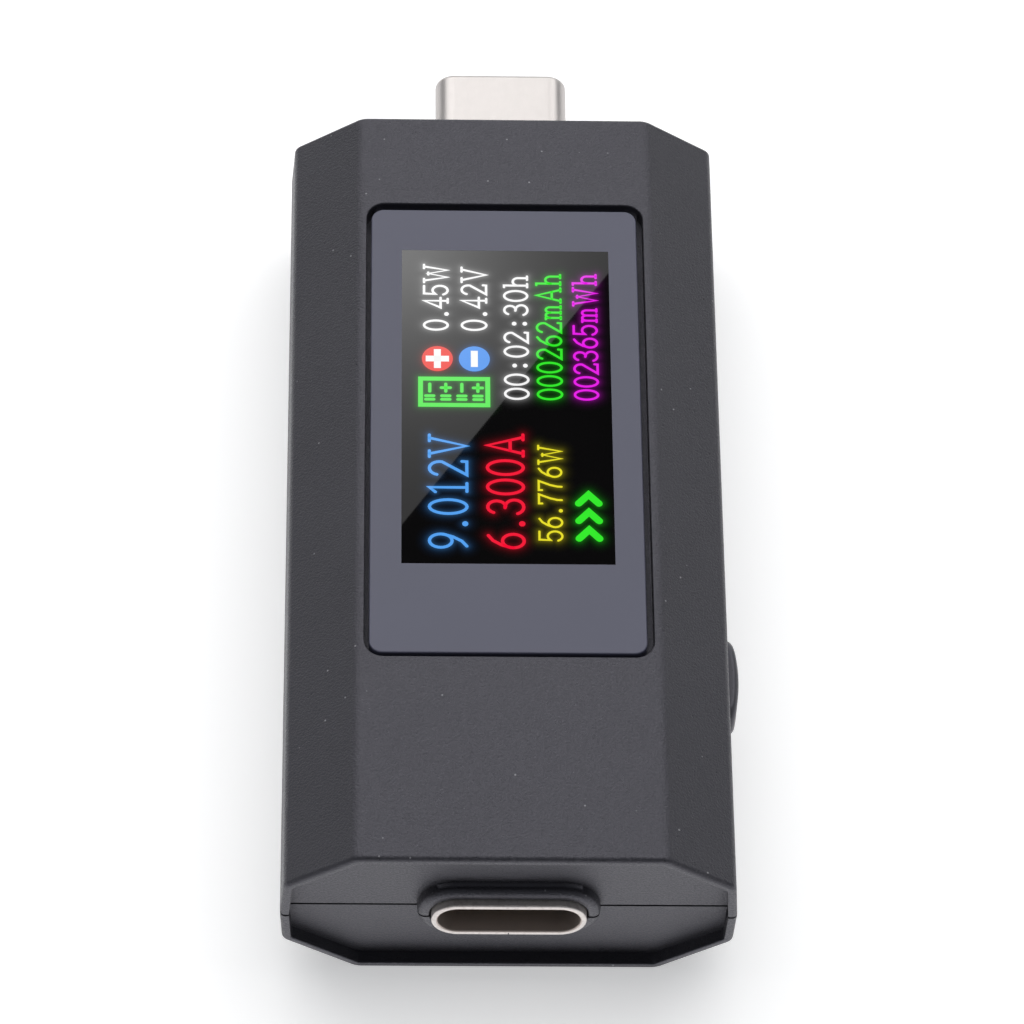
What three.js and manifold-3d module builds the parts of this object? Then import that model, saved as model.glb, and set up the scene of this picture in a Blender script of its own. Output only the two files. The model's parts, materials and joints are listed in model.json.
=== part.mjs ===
// USB power meter: an inline tester with a USB-C plug at one end, a USB-C receptacle at the other,
// a colour display under a window, and one side button. Units are millimetres.
// Frame: origin at the centre of the flat underside, +X towards the button, +Y towards the plug and
// +Z up through the display. Each piece is a closed solid in its own named mesh.

import * as THREE from "three";
import { mergeVertices } from "three/addons/utils/BufferGeometryUtils.js";
import Module from "manifold-3d";

const wasm = await Module();
wasm.setup();

// ---------------------------------------------------------------- driving dimensions

// Case: an octagonal bar in two halves, with each end face set back inside a rim.
const CASE_LENGTH = 53.6;
const CASE_HEIGHT = 12.18;
const PARTING_Z = 5.91;
const FLAT_HALF = 8.8; // half-width of the top and bottom flats
const LOWER_CORNER = [13.05, 3.15]; // half-width and height where the lower chamfer meets the side
const PARTING_HALF = 13.15; // the sides have draft, so they are widest at the parting plane
const UPPER_CORNER = [12.92, 9.15];
const WALL = 1.3;
const RIM_WALL = 0.55;
const END_RECESS = 0.8;
const END_WALL = 1.2;
const PARTING_GAP = 0.04;
const LIP_HEIGHT = 0.7;
const LIP_ROOT = 1.2; // how far the lip's wall runs down inside the lower half
const LIP_THICK = 0.55;
const LIP_CLEARANCE = 0.06;

// Ports share one axis height, the middle of the board.
const PORT_Z = 6.12;
const COLLAR = { width: 10.6, height: 4.7 };
const PORT_GAP = 0.16; // how much larger a port's opening is than the metal shell in it

// Window and display.
const WINDOW = { width: 16.84, length: 33.04, centreY: 3.5, corner: 1.1, depth: 1.05 };
const LENS_GROOVE = 0.33;
const LENS_AT = [-0.06, 3.43]; // the lens sits a little off the middle of its recess
const LENS_SUNK = 0.08;
const LENS_THICK = 0.8;
const SCREEN = { width: 12.56, length: 23.04, centreY: 4.99 };
const SIGHT_GAP = 1.3; // how much larger the hole under the window is than the screen
const CEILING_Z = 10.58; // underside of the top wall
const FLOOR_Z = WALL;

// Circuit board.
const BOARD = { halfWidth: 11.1, nearY: -24.42, farY: 24.42, thick: 0.8, corner: 1.0 };
const PEG = { x: 9.5, ys: [-4.0, 14.5], radius: 0.7, holeRadius: 0.8, postRadius: 1.5, depth: 1.6 };
const RIB = { x: 7.5, ys: [-22.6, 21.2], thick: 0.8, length: 2.6 };

// USB-C receptacle (near end) and plug (far end).
const RECEPTACLE = { width: 8.94, height: 3.16, wall: 0.3, length: 7.35, proud: 0.4 };
const PLUG = { width: 8.25, height: 2.4, wall: 0.25, exposed: 7.5, rearY: 23.02 };
const CONTACT = { count: 12, pitch: 0.5, width: 0.25 };

// Side button and its switch.
const BUTTON = { y: -11.4, z: 6.42, length: 6.2, height: 2.6, tipX: 13.62, crown: 0.3, bow: 12 };
const BUTTON_FIT = { clearance: 0.15, travel: 0.3 };
const FLANGE = { innerX: 10.95, outerX: 11.55, length: 7.6, height: 3.9 };
const SWITCH = { innerX: 7.4, outerX: 10.0, width: 4.6, height: 1.6, stemZ: 0.8 };

const NEAR_Y = -CASE_LENGTH / 2;
const FAR_Y = CASE_LENGTH / 2;
const BOARD_TOP = PORT_Z + BOARD.thick / 2;
const BOARD_BOTTOM = PORT_Z - BOARD.thick / 2;
const FIT = 0.02; // gap between faces that touch on the real object
const FUSE = 0.3; // how far a feature runs into the wall that it stands on
const THROUGH = 1.0; // how far a cutter runs past what it cuts
const ARC_STEPS = 6; // straight steps in a quarter circle

// ---------------------------------------------------------------- shapes and solids

// The closed three.js geometry as a manifold-3d solid.
function solid(geometry) {
  const bare = geometry.index ? geometry.toNonIndexed() : geometry.clone();
  bare.deleteAttribute("normal");
  bare.deleteAttribute("uv");
  const merged = mergeVertices(bare, 1e-4);
  return new wasm.Manifold(
    new wasm.Mesh({
      numProp: 3,
      vertProperties: merged.attributes.position.array,
      triVerts: new Uint32Array(merged.index.array),
    }),
  );
}

// A solid as a three.js geometry.
function geometryOf(made) {
  const mesh = made.getMesh();
  const geometry = new THREE.BufferGeometry();
  geometry.setAttribute("position", new THREE.BufferAttribute(mesh.vertProperties, 3));
  geometry.setIndex(new THREE.BufferAttribute(mesh.triVerts, 1));
  const flat = geometry.toNonIndexed();
  flat.computeVertexNormals();
  return flat;
}

function extrude(shape, depth) {
  return new THREE.ExtrudeGeometry(shape, { depth, bevelEnabled: false, curveSegments: ARC_STEPS });
}

// A shape drawn in X and Y, from z0 up to z1.
function prismZ(shape, z0, z1) {
  return solid(extrude(shape, z1 - z0).translate(0, 0, z0));
}

// A shape drawn in X and Z, from y0 to y1.
function prismY(shape, y0, y1) {
  return solid(extrude(shape, y1 - y0).rotateX(Math.PI / 2).translate(0, y1, 0));
}

// Turns a shape's X and Y into the part's Y and Z, so that its depth runs along X.
const ALONG_X = new THREE.Matrix4().makeBasis(
  new THREE.Vector3(0, 1, 0),
  new THREE.Vector3(0, 0, 1),
  new THREE.Vector3(1, 0, 0),
);

// A shape drawn in Y and Z, from x0 to x1.
function prismX(shape, x0, x1) {
  return solid(extrude(shape, x1 - x0).applyMatrix4(ALONG_X).translate(x0, 0, 0));
}

function box(x0, x1, y0, y1, z0, z1) {
  const middle = [(x0 + x1) / 2, (y0 + y1) / 2, (z0 + z1) / 2];
  return solid(new THREE.BoxGeometry(x1 - x0, y1 - y0, z1 - z0).translate(...middle));
}

function cylinderZ(x, y, radius, z0, z1) {
  const round = new THREE.CylinderGeometry(radius, radius, z1 - z0, 4 * ARC_STEPS);
  return solid(round.rotateX(Math.PI / 2).translate(x, y, (z0 + z1) / 2));
}

function joined(pieces) {
  return pieces.reduce((all, piece) => all.add(piece));
}

// The low and high ends of a stretch from a to b, mirrored to the negative side where sign is -1.
function span(sign, a, b) {
  return [Math.min(sign * a, sign * b), Math.max(sign * a, sign * b)];
}

// A rectangle about (cx, cy) with rounded corners.
function roundedRect(cx, cy, width, height, radius) {
  const x = width / 2 - radius;
  const y = height / 2 - radius;
  const shape = new THREE.Shape();
  shape.moveTo(cx - x, cy - y - radius);
  shape.absarc(cx + x, cy - y, radius, -Math.PI / 2, 0);
  shape.absarc(cx + x, cy + y, radius, 0, Math.PI / 2);
  shape.absarc(cx - x, cy + y, radius, Math.PI / 2, Math.PI);
  shape.absarc(cx - x, cy - y, radius, Math.PI, 1.5 * Math.PI);
  return shape;
}

// A rectangle with fully rounded ends, but for a sliver of flat that keeps every edge longer than zero.
function stadium(cx, cy, width, height) {
  return roundedRect(cx, cy, width, height, height / 2 - 0.001);
}

function polygon(points) {
  return new THREE.Shape(points.map(([x, y]) => new THREE.Vector2(x, y)));
}

// A convex, anticlockwise outline with every edge moved inwards by distance.
function inset(points, distance) {
  const edges = points.map(([ax, ay], i) => {
    const [bx, by] = points[(i + 1) % points.length];
    const length = Math.hypot(bx - ax, by - ay);
    const normal = [-(by - ay) / length, (bx - ax) / length];
    return { normal, offset: normal[0] * ax + normal[1] * ay + distance };
  });
  return edges.map((next, i) => {
    const last = edges[(i + edges.length - 1) % edges.length];
    const det = last.normal[0] * next.normal[1] - last.normal[1] * next.normal[0];
    return [
      (last.offset * next.normal[1] - last.normal[1] * next.offset) / det,
      (last.normal[0] * next.offset - last.offset * next.normal[0]) / det,
    ];
  });
}

// ---------------------------------------------------------------- materials

function material(color, roughness, metalness = 0) {
  return new THREE.MeshStandardMaterial({ color, roughness, metalness });
}

const CASE_PLASTIC = material(0x3f3f45, 0.55);
const BUTTON_PLASTIC = material(0x36363b, 0.5);
const CLEAR = material(0x9aa0b0, 0.08);
const PRINT = material(0x34353d, 0.4);
const ADHESIVE = material(0x1a1a1a, 0.9);
const BLACK_PLASTIC = material(0x121214, 0.45);
const STEEL = material(0xc9c6c1, 0.25, 1);
const NICKEL = material(0xb9b4ae, 0.3, 1);
const GOLD = material(0xd9b45b, 0.3, 1);
const TIN = material(0xb8b8bc, 0.35, 1);
const BOARD_GREEN = material(0x14452c, 0.5);
const CHIP_BLACK = material(0x1b1b1d, 0.6);
const GLASS_BLACK = material(0x15171c, 0.1);
const WHITE_PLASTIC = material(0xe6e6e2, 0.5);
const FLEX_AMBER = material(0xa8641e, 0.4);
const FOAM = material(0x2a2a2c, 0.95);
const CERAMIC = material(0xa98a63, 0.6);

// ---------------------------------------------------------------- assembly tree

const meter = new THREE.Group();

// Adds a piece to a group as a named mesh; the solid is drawn in the group's own frame.
function add(group, name, made, finish) {
  const mesh = new THREE.Mesh(geometryOf(made), finish);
  mesh.name = name;
  group.add(mesh);
  return mesh;
}

function groupAt(x, y, z) {
  const group = new THREE.Group();
  group.position.set(x, y, z);
  meter.add(group);
  return group;
}

// ---------------------------------------------------------------- case

const SECTION = [
  [FLAT_HALF, 0],
  LOWER_CORNER,
  [PARTING_HALF, PARTING_Z],
  UPPER_CORNER,
  [FLAT_HALF, CASE_HEIGHT],
  [-FLAT_HALF, CASE_HEIGHT],
  [-UPPER_CORNER[0], UPPER_CORNER[1]],
  [-PARTING_HALF, PARTING_Z],
  [-LOWER_CORNER[0], LOWER_CORNER[1]],
  [-FLAT_HALF, 0],
];
const PEG_PLACES = PEG.ys.flatMap((y) => [-PEG.x, PEG.x].map((x) => [x, y]));
const CAVITY_HALF_LENGTH = FAR_Y - END_RECESS - END_WALL;
const CAVITY_HALF_WIDTH = PARTING_HALF - WALL;

// The whole outer form: the octagonal bar with its end faces set back, and a collar round each port.
function caseBody() {
  const recess = polygon(inset(SECTION, RIM_WALL));
  const collar = stadium(0, PORT_Z, COLLAR.width, COLLAR.height);
  return prismY(polygon(SECTION), NEAR_Y, FAR_Y)
    .subtract(prismY(recess, NEAR_Y - THROUGH, NEAR_Y + END_RECESS))
    .subtract(prismY(recess, FAR_Y - END_RECESS, FAR_Y + THROUGH))
    .add(prismY(collar, NEAR_Y, NEAR_Y + END_RECESS + FIT))
    .add(prismY(collar, FAR_Y - END_RECESS - FIT, FAR_Y));
}

// Everything taken out of both halves: the cavity, the two port openings and the button's slot.
function caseCuts() {
  const hollow = polygon(inset(SECTION, WALL));
  const hollowEnd = CAVITY_HALF_LENGTH;
  const { width: rw, height: rh } = RECEPTACLE;
  const { width: pw, height: ph } = PLUG;
  const slotLength = BUTTON.length + 2 * BUTTON_FIT.clearance;
  const slotHeight = BUTTON.height + 2 * BUTTON_FIT.clearance;
  return joined([
    prismY(hollow, -hollowEnd, hollowEnd).subtract(
      box(-FLAT_HALF * 2, FLAT_HALF * 2, NEAR_Y, FAR_Y, CEILING_Z, CASE_HEIGHT + THROUGH),
    ),
    prismY(stadium(0, PORT_Z, rw + PORT_GAP, rh + PORT_GAP), NEAR_Y - THROUGH, THROUGH - hollowEnd),
    prismY(stadium(0, PORT_Z, pw + PORT_GAP, ph + PORT_GAP), hollowEnd - THROUGH, FAR_Y + THROUGH),
    prismX(
      stadium(BUTTON.y, BUTTON.z, slotLength, slotHeight),
      CAVITY_HALF_WIDTH - THROUGH,
      PARTING_HALF + THROUGH,
    ),
  ]);
}

// A thin wall round the cavity at the parting plane, broken for the two ports and for the button. The
// lower half has it, and the upper half is cut for it.
function lip(thick, inner, z0, z1) {
  const endGap = CAVITY_HALF_LENGTH - CAVITY_HALF_WIDTH;
  const ring = (extra) =>
    roundedRect(0, 0, 2 * (inner + extra), 2 * (endGap + inner + extra), 1);
  const low = z0 - THROUGH;
  const high = z1 + THROUGH;
  const portGap = COLLAR.width / 2 + 0.9;
  const buttonGap = BUTTON.length / 2 + 1.6;
  return prismZ(ring(thick), z0, z1)
    .subtract(prismZ(ring(0), low, high))
    .subtract(box(-portGap, portGap, NEAR_Y, FAR_Y, low, high))
    .subtract(box(0, PARTING_HALF, BUTTON.y - buttonGap, BUTTON.y + buttonGap, low, high));
}

const LIP_INNER = CAVITY_HALF_WIDTH - 0.12;

// Four catches on the upper half's wall and, grown by a clearance, the pockets for them in the lip.
const CATCH = { ys: [-19, 9], halfLength: 1.5, reach: 0.16, z0: PARTING_Z + 0.25, z1: PARTING_Z + 0.5 };

function catches(grow) {
  const outer = LIP_INNER + LIP_THICK + LIP_CLEARANCE - 0.05;
  const reach = CATCH.reach + grow;
  const length = CATCH.halfLength + grow;
  const one = (x, y) =>
    box(x - reach, x + reach, y - length, y + length, CATCH.z0 - grow, CATCH.z1 + grow);
  return joined(CATCH.ys.flatMap((y) => [one(-outer, y), one(outer, y)]));
}

// The part of a solid that lies inside the case, no nearer its outer faces than half a wall.
function keptInside(made) {
  return made.intersect(prismY(polygon(inset(SECTION, WALL / 2)), NEAR_Y, FAR_Y));
}

// Four bosses that hold the board down, each with a blind hole for a locating peg.
function bosses() {
  const posts = PEG_PLACES.map(([x, y]) =>
    cylinderZ(x, y, PEG.postRadius, BOARD_TOP + FIT, CEILING_Z + FUSE),
  );
  const holes = PEG_PLACES.map(([x, y]) =>
    cylinderZ(x, y, PEG.holeRadius, BOARD_TOP - THROUGH, BOARD_TOP + PEG.depth),
  );
  return keptInside(joined(posts).subtract(joined(holes)));
}

function upperShell() {
  const { width, length, centreY, corner, depth } = WINDOW;
  const low = PARTING_Z + PARTING_GAP / 2;
  const half = box(-CASE_LENGTH, CASE_LENGTH, NEAR_Y, FAR_Y, low, CASE_HEIGHT);
  const rebate = lip(
    THROUGH + LIP_THICK + LIP_CLEARANCE,
    LIP_INNER - THROUGH,
    0,
    PARTING_Z + LIP_HEIGHT + LIP_CLEARANCE,
  );
  const frame = prismZ(
    roundedRect(0, centreY, width, length, corner),
    CASE_HEIGHT - depth,
    CASE_HEIGHT + THROUGH,
  );
  const sight = prismZ(
    roundedRect(0, SCREEN.centreY, SCREEN.width + SIGHT_GAP, SCREEN.length + SIGHT_GAP, 0.4),
    CEILING_Z - THROUGH,
    CASE_HEIGHT,
  );
  return joined([
    caseBody().intersect(half).subtract(joined([caseCuts(), rebate, frame, sight])),
    catches(0),
    bosses(),
  ]);
}

// Posts that carry the board, each with a peg through it, and ribs under the board's ends.
function supports() {
  const posts = PEG_PLACES.map(([x, y]) =>
    cylinderZ(x, y, PEG.postRadius, FLOOR_Z - FUSE, BOARD_BOTTOM - FIT),
  );
  const pegs = PEG_PLACES.map(([x, y]) =>
    cylinderZ(x, y, PEG.radius, FLOOR_Z, BOARD_TOP + PEG.depth - FUSE),
  );
  const ribs = RIB.ys.flatMap((y) =>
    [-RIB.x, RIB.x].map((x) =>
      box(x - RIB.thick / 2, x + RIB.thick / 2, y - RIB.length / 2, y + RIB.length / 2,
        FLOOR_Z - FUSE, BOARD_BOTTOM - FIT),
    ),
  );
  return keptInside(joined([...posts, ...pegs, ...ribs]));
}

function lowerShell() {
  const half = box(-CASE_LENGTH, CASE_LENGTH, NEAR_Y, FAR_Y, 0, PARTING_Z - PARTING_GAP / 2);
  const wall = lip(LIP_THICK, LIP_INNER, PARTING_Z - LIP_ROOT, PARTING_Z + LIP_HEIGHT);
  return joined([
    caseBody().intersect(half).subtract(caseCuts()),
    wall.subtract(catches(LIP_CLEARANCE)),
    supports(),
  ]);
}

const housing = groupAt(0, 0, 0);
add(housing, "upper_shell", upperShell(), CASE_PLASTIC);
add(housing, "lower_shell", lowerShell(), CASE_PLASTIC);

// ---------------------------------------------------------------- window

// Its origin is the middle of the lens, at the height of the top face.
const windowGroup = groupAt(...LENS_AT, CASE_HEIGHT);

function windowPane(z0, z1, shrink = 0) {
  const width = WINDOW.width - 2 * (LENS_GROOVE + shrink);
  const length = WINDOW.length - 2 * (LENS_GROOVE + shrink);
  return prismZ(roundedRect(0, 0, width, length, WINDOW.corner - LENS_GROOVE), z0, z1);
}

// The clear opening in the print or the tape, larger than the screen by border on each side.
function clearOpening(border) {
  const width = SCREEN.width + 2 * border;
  const length = SCREEN.length + 2 * border;
  const centreY = SCREEN.centreY - LENS_AT[1];
  const opening = roundedRect(-LENS_AT[0], centreY, width, length, 0.2);
  return prismZ(opening, -WINDOW.depth - THROUGH, THROUGH);
}

const LENS_BOTTOM = -LENS_SUNK - LENS_THICK;
const PRINT_BOTTOM = LENS_BOTTOM - FIT - 0.06;
const FRAME_FLOOR = -WINDOW.depth;

add(windowGroup, "window_lens", windowPane(LENS_BOTTOM, -LENS_SUNK), CLEAR);
add(
  windowGroup,
  "window_print",
  windowPane(PRINT_BOTTOM, LENS_BOTTOM - FIT, 0.05).subtract(clearOpening(0)),
  PRINT,
);
add(
  windowGroup,
  "window_tape",
  windowPane(FRAME_FLOOR + 0.01, PRINT_BOTTOM - 0.01, 0.15).subtract(clearOpening(0.75)),
  ADHESIVE,
);

// ---------------------------------------------------------------- display module

// Its origin is the middle of the lit area, at the underside of the case's top wall. The layers are
// stacked downwards from there, and the two lower ones run on past the front glass as a ledge.
const display = groupAt(0, SCREEN.centreY, CEILING_Z);
const GLASS = { border: 1.2, ledge: 2.9, thick: 0.4 };
const POLARISER = { border: 0.8, thick: 0.12 };
const BACKLIGHT_THICK = 0.85;
const DRIVER = { halfLength: 5.5, thick: 0.28, from: 0.4, to: 1.3 };
const GLASS_HALF = SCREEN.width / 2 + GLASS.border;
const GLASS_FAR_Y = SCREEN.length / 2 + GLASS.border;
const LEDGE_NEAR_Y = -GLASS_FAR_Y - GLASS.ledge;
const FRONT_TOP = -POLARISER.thick - 2 * FIT;
const REAR_TOP = FRONT_TOP - GLASS.thick - FIT;
const BACKLIGHT_TOP = REAR_TOP - GLASS.thick - FIT;

// A layer as wide as the glass, from nearY to the far end, thick below top.
function layer(nearY, top, thick) {
  return box(-GLASS_HALF, GLASS_HALF, nearY, GLASS_FAR_Y, top - thick, top);
}

function polariser() {
  const x = SCREEN.width / 2 + POLARISER.border;
  const y = SCREEN.length / 2 + POLARISER.border;
  return box(-x, x, -y, y, -FIT - POLARISER.thick, -FIT);
}

function driverChip() {
  const { halfLength, thick, from, to } = DRIVER;
  const y = -GLASS_FAR_Y;
  return box(-halfLength, halfLength, y - to, y - from, REAR_TOP + FIT, REAR_TOP + FIT + thick);
}

add(display, "display_polariser", polariser(), GLASS_BLACK);
add(display, "display_front_glass", layer(-GLASS_FAR_Y, FRONT_TOP, GLASS.thick), GLASS_BLACK);
add(display, "display_rear_glass", layer(LEDGE_NEAR_Y, REAR_TOP, GLASS.thick), GLASS_BLACK);
add(display, "display_driver_chip", driverChip(), CHIP_BLACK);
add(display, "display_backlight", layer(LEDGE_NEAR_Y, BACKLIGHT_TOP, BACKLIGHT_THICK), WHITE_PLASTIC);

// The flex tail leaves the glass ledge, turns down past the backlight and lies on the board.
const FLEX = { thick: 0.1, halfWidth: 4.6, bend: 0.9, reach: 1.4, foot: 3.2, onGlass: 1.0 };

function flexTail() {
  const { thick, halfWidth, bend, reach, foot, onGlass } = FLEX;
  const top = REAR_TOP + FIT + thick;
  const bottom = BOARD_TOP + FIT - CEILING_Z;
  const centre = LEDGE_NEAR_Y - reach + bend;
  const footEnd = LEDGE_NEAR_Y - reach + foot;
  const side = new THREE.Shape();
  side.moveTo(LEDGE_NEAR_Y + onGlass, top);
  side.absarc(centre, top - bend, bend, Math.PI / 2, Math.PI);
  side.absarc(centre, bottom + bend, bend, Math.PI, 1.5 * Math.PI);
  side.lineTo(footEnd, bottom);
  side.lineTo(footEnd, bottom + thick);
  side.absarc(centre, bottom + bend, bend - thick, 1.5 * Math.PI, Math.PI, true);
  side.absarc(centre, top - bend, bend - thick, Math.PI, Math.PI / 2, true);
  side.lineTo(LEDGE_NEAR_Y + onGlass, top - thick);
  return prismX(side, -halfWidth, halfWidth);
}

add(display, "display_flex", flexTail(), FLEX_AMBER);

// Two strips of foam press the module up against the window frame.
const FOAM_BOTTOM = BOARD_TOP + FIT - CEILING_Z;
const FOAM_TOP = BACKLIGHT_TOP - BACKLIGHT_THICK - FIT;
for (const [name, y] of [["display_foam_near", -6.5], ["display_foam_far", 9.5]]) {
  add(display, name, box(-6, 6, y - 1, y + 1, FOAM_BOTTOM, FOAM_TOP), FOAM);
}

// ---------------------------------------------------------------- circuit board

// Its origin is on the board's top face, above the middle of the case.
const board = groupAt(0, 0, BOARD_TOP);
const RECEPTACLE_REAR_Y = NEAR_Y - RECEPTACLE.proud + RECEPTACLE.length;
const TAB = { near: 1.4, far: 3.5, length: 1.1, slotX: 5.15, thick: 0.26 };
const BUTTON_NOTCH = { x: FLANGE.innerX - BUTTON_FIT.travel - 0.25, half: FLANGE.length / 2 + 0.4 };

function mainBoard() {
  const outline = roundedRect(
    0,
    (BOARD.nearY + BOARD.farY) / 2,
    2 * BOARD.halfWidth,
    BOARD.farY - BOARD.nearY,
    BOARD.corner,
  );
  const z0 = -BOARD.thick;
  const cut = (x0, x1, y0, y1) => box(x0, x1, y0, y1, z0 - THROUGH, THROUGH);
  const notch = RECEPTACLE.width / 2 + 0.1;
  const plugNotch = PLUG.width / 2 + 0.15;
  const slots = [-TAB.slotX, TAB.slotX].flatMap((x) =>
    [BOARD.nearY + TAB.near, BOARD.nearY + TAB.far].map((y) =>
      cut(x - 0.3, x + 0.3, y - 0.15, y + TAB.length + 0.15),
    ),
  );
  const pegHoles = PEG_PLACES.map(([x, y]) => cylinderZ(x, y, PEG.holeRadius, z0 - THROUGH, THROUGH));
  return prismZ(outline, z0, 0).subtract(
    joined([
      cut(-notch, notch, NEAR_Y, RECEPTACLE_REAR_Y + 0.1),
      cut(-plugNotch, plugNotch, PLUG.rearY - 0.3, FAR_Y),
      cut(BUTTON_NOTCH.x, PARTING_HALF, BUTTON.y - BUTTON_NOTCH.half, BUTTON.y + BUTTON_NOTCH.half),
      ...slots,
      ...pegHoles,
    ]),
  );
}

add(board, "main_board", mainBoard(), BOARD_GREEN);

// A chip with gull-wing legs along its two long sides, about its own middle, with its legs on z = 0.
function leggedChip({ length, width, height, legs, pitch, legWidth, reach }) {
  const thick = 0.13;
  const outer = width / 2 + reach;
  const knee = outer - 0.25 * reach;
  const top = height * 0.45 + thick;
  const places = Array.from({ length: legs }, (_, i) => (i - (legs - 1) / 2) * pitch - legWidth / 2);
  const rows = [-1, 1].flatMap((sign) =>
    places.flatMap((x) => [
      box(x, x + legWidth, ...span(sign, width / 2 - 0.1, knee), top - thick, top),
      box(x, x + legWidth, ...span(sign, knee - 0.2 * reach, knee), 0, top),
      box(x, x + legWidth, ...span(sign, knee - 0.2 * reach, outer), 0, thick),
    ]),
  );
  return joined([box(-length / 2, length / 2, -width / 2, width / 2, 0.1, height), ...rows]);
}

// A two-ended passive part: a body between two end caps that stand a little proud of it.
function endCapped(length, width, height) {
  const cap = length * 0.2;
  const step = 0.03;
  const half = length / 2;
  return joined([
    box(-half + cap, half - cap, -width / 2 + step, width / 2 - step, step, height - step),
    box(-half, -half + cap, -width / 2, width / 2, 0, height),
    box(half - cap, half, -width / 2, width / 2, 0, height),
  ]);
}

// A bare flat package: a body on a slightly smaller base.
function flatPackage(length, width, height) {
  const base = 0.12;
  return joined([
    box(-length / 2 + 0.1, length / 2 - 0.1, -width / 2 + 0.1, width / 2 - 0.1, 0, base),
    box(-length / 2, length / 2, -width / 2, width / 2, base, height),
  ]);
}

// Puts a component on the board's top (side 1) or underside (side -1), turned by quarter turns.
function mount(name, made, finish, x, y, side = 1, quarterTurns = 0) {
  const mesh = add(board, name, made, finish);
  const rest = side > 0 ? FIT : -BOARD.thick - FIT;
  mesh.position.set(x, y, rest);
  mesh.rotation.set(side > 0 ? 0 : Math.PI, 0, (quarterTurns * Math.PI) / 2);
}

const MEMORY = {
  length: 4.9,
  width: 3.9,
  height: 1.5,
  legs: 4,
  pitch: 1.27,
  legWidth: 0.42,
  reach: 1.05,
};
const SENSE = { ...MEMORY, length: 3, width: 3, height: 1.05, pitch: 0.65, legWidth: 0.3, reach: 0.9 };
const REGULATOR = { ...MEMORY, length: 4.5, width: 2.5, legs: 3, pitch: 1.5, legWidth: 0.45, reach: 0.9 };

mount("controller_chip", flatPackage(5, 5, 0.85), CHIP_BLACK, -1.5, 5.5);
mount("memory_chip", leggedChip(MEMORY), CHIP_BLACK, 2.2, -14.7, 1, 1);
mount("crystal", flatPackage(3.2, 2.5, 0.8), NICKEL, 3.8, 9.6);
mount("regulator", leggedChip(REGULATOR), CHIP_BLACK, -7.6, -14.5, 1, 1);
mount("current_sense_chip", leggedChip(SENSE), CHIP_BLACK, 0, -4.5, -1, 0);
mount("shunt_resistor", endCapped(6.4, 3.2, 0.75), TIN, 0, -10.2, -1, 0);
mount("protection_diode", endCapped(4.3, 2.6, 1.6), CHIP_BLACK, -6, 16.5, -1, 1);

const CAPACITORS = [
  [-4.0, -13.5, 1],
  [3.8, 5.2, 1],
  [-6.2, 2.0, -1],
  [6.2, 2.0, -1],
];
CAPACITORS.forEach(([x, y, side], i) => {
  mount(`capacitor_${i + 1}`, endCapped(2.0, 1.25, 1.2), CERAMIC, x, y, side, 1);
});

// ---------------------------------------------------------------- USB-C receptacle

// Its origin is the middle of the mouth, and the socket runs along +Y from it.
const receptacle = groupAt(0, NEAR_Y - RECEPTACLE.proud, PORT_Z);
const TONGUE = { halfWidth: 3.34, rail: 0.35, thick: 0.56, nearY: 1.0, baseY: 5.4 };

function receptacleShell() {
  const { width, height, wall, length } = RECEPTACLE;
  const tube = prismY(stadium(0, 0, width, height), 0, length).subtract(
    prismY(stadium(0, 0, width - 2 * wall, height - 2 * wall), -THROUGH, length + THROUGH),
  );
  const tabs = [-1, 1].flatMap((sign) =>
    [TAB.near, TAB.far].map((y) => {
      const y0 = BOARD.nearY + y - receptacle.position.y;
      const top = BOARD.thick / 2 + FIT;
      const outer = TAB.slotX + TAB.thick / 2;
      const ear = box(...span(sign, width / 2 - 0.2, outer), y0, y0 + TAB.length, top, top + TAB.thick);
      const leg = box(...span(sign, outer - TAB.thick, outer), y0, y0 + TAB.length, -1.0, top + TAB.thick);
      return ear.add(leg);
    }),
  );
  return joined([tube, ...tabs]);
}

function contactPlaces() {
  return Array.from({ length: CONTACT.count }, (_, i) => (i - (CONTACT.count - 1) / 2) * CONTACT.pitch);
}

// A row of contacts cut from one lead frame: each follows a side profile in Y and Z, tied by a bar.
function contactRow(profile, bar) {
  const strips = contactPlaces().map((x) =>
    prismX(polygon(profile), x - CONTACT.width / 2, x + CONTACT.width / 2),
  );
  const last = ((CONTACT.count - 1) / 2) * CONTACT.pitch;
  return joined([...strips, box(-last, last, ...bar)]);
}

const SOCKET_CONTACT = { low: 0.29, high: 0.35, tipY: 1.35, stepY: 6.3, tailY: 8.6 };

function receptacleContacts() {
  const { low, high, tipY, stepY, tailY } = SOCKET_CONTACT;
  const foot = BOARD.thick / 2 + FIT;
  const head = foot + 0.08;
  const profile = [
    [tipY, low],
    [stepY, low],
    [stepY + 0.35, foot],
    [tailY, foot],
    [tailY, head],
    [stepY + 0.3, head],
    [stepY - 0.05, high],
    [tipY, high],
  ];
  return contactRow(profile, [stepY - 0.5, stepY - 0.3, low, high]);
}

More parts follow.
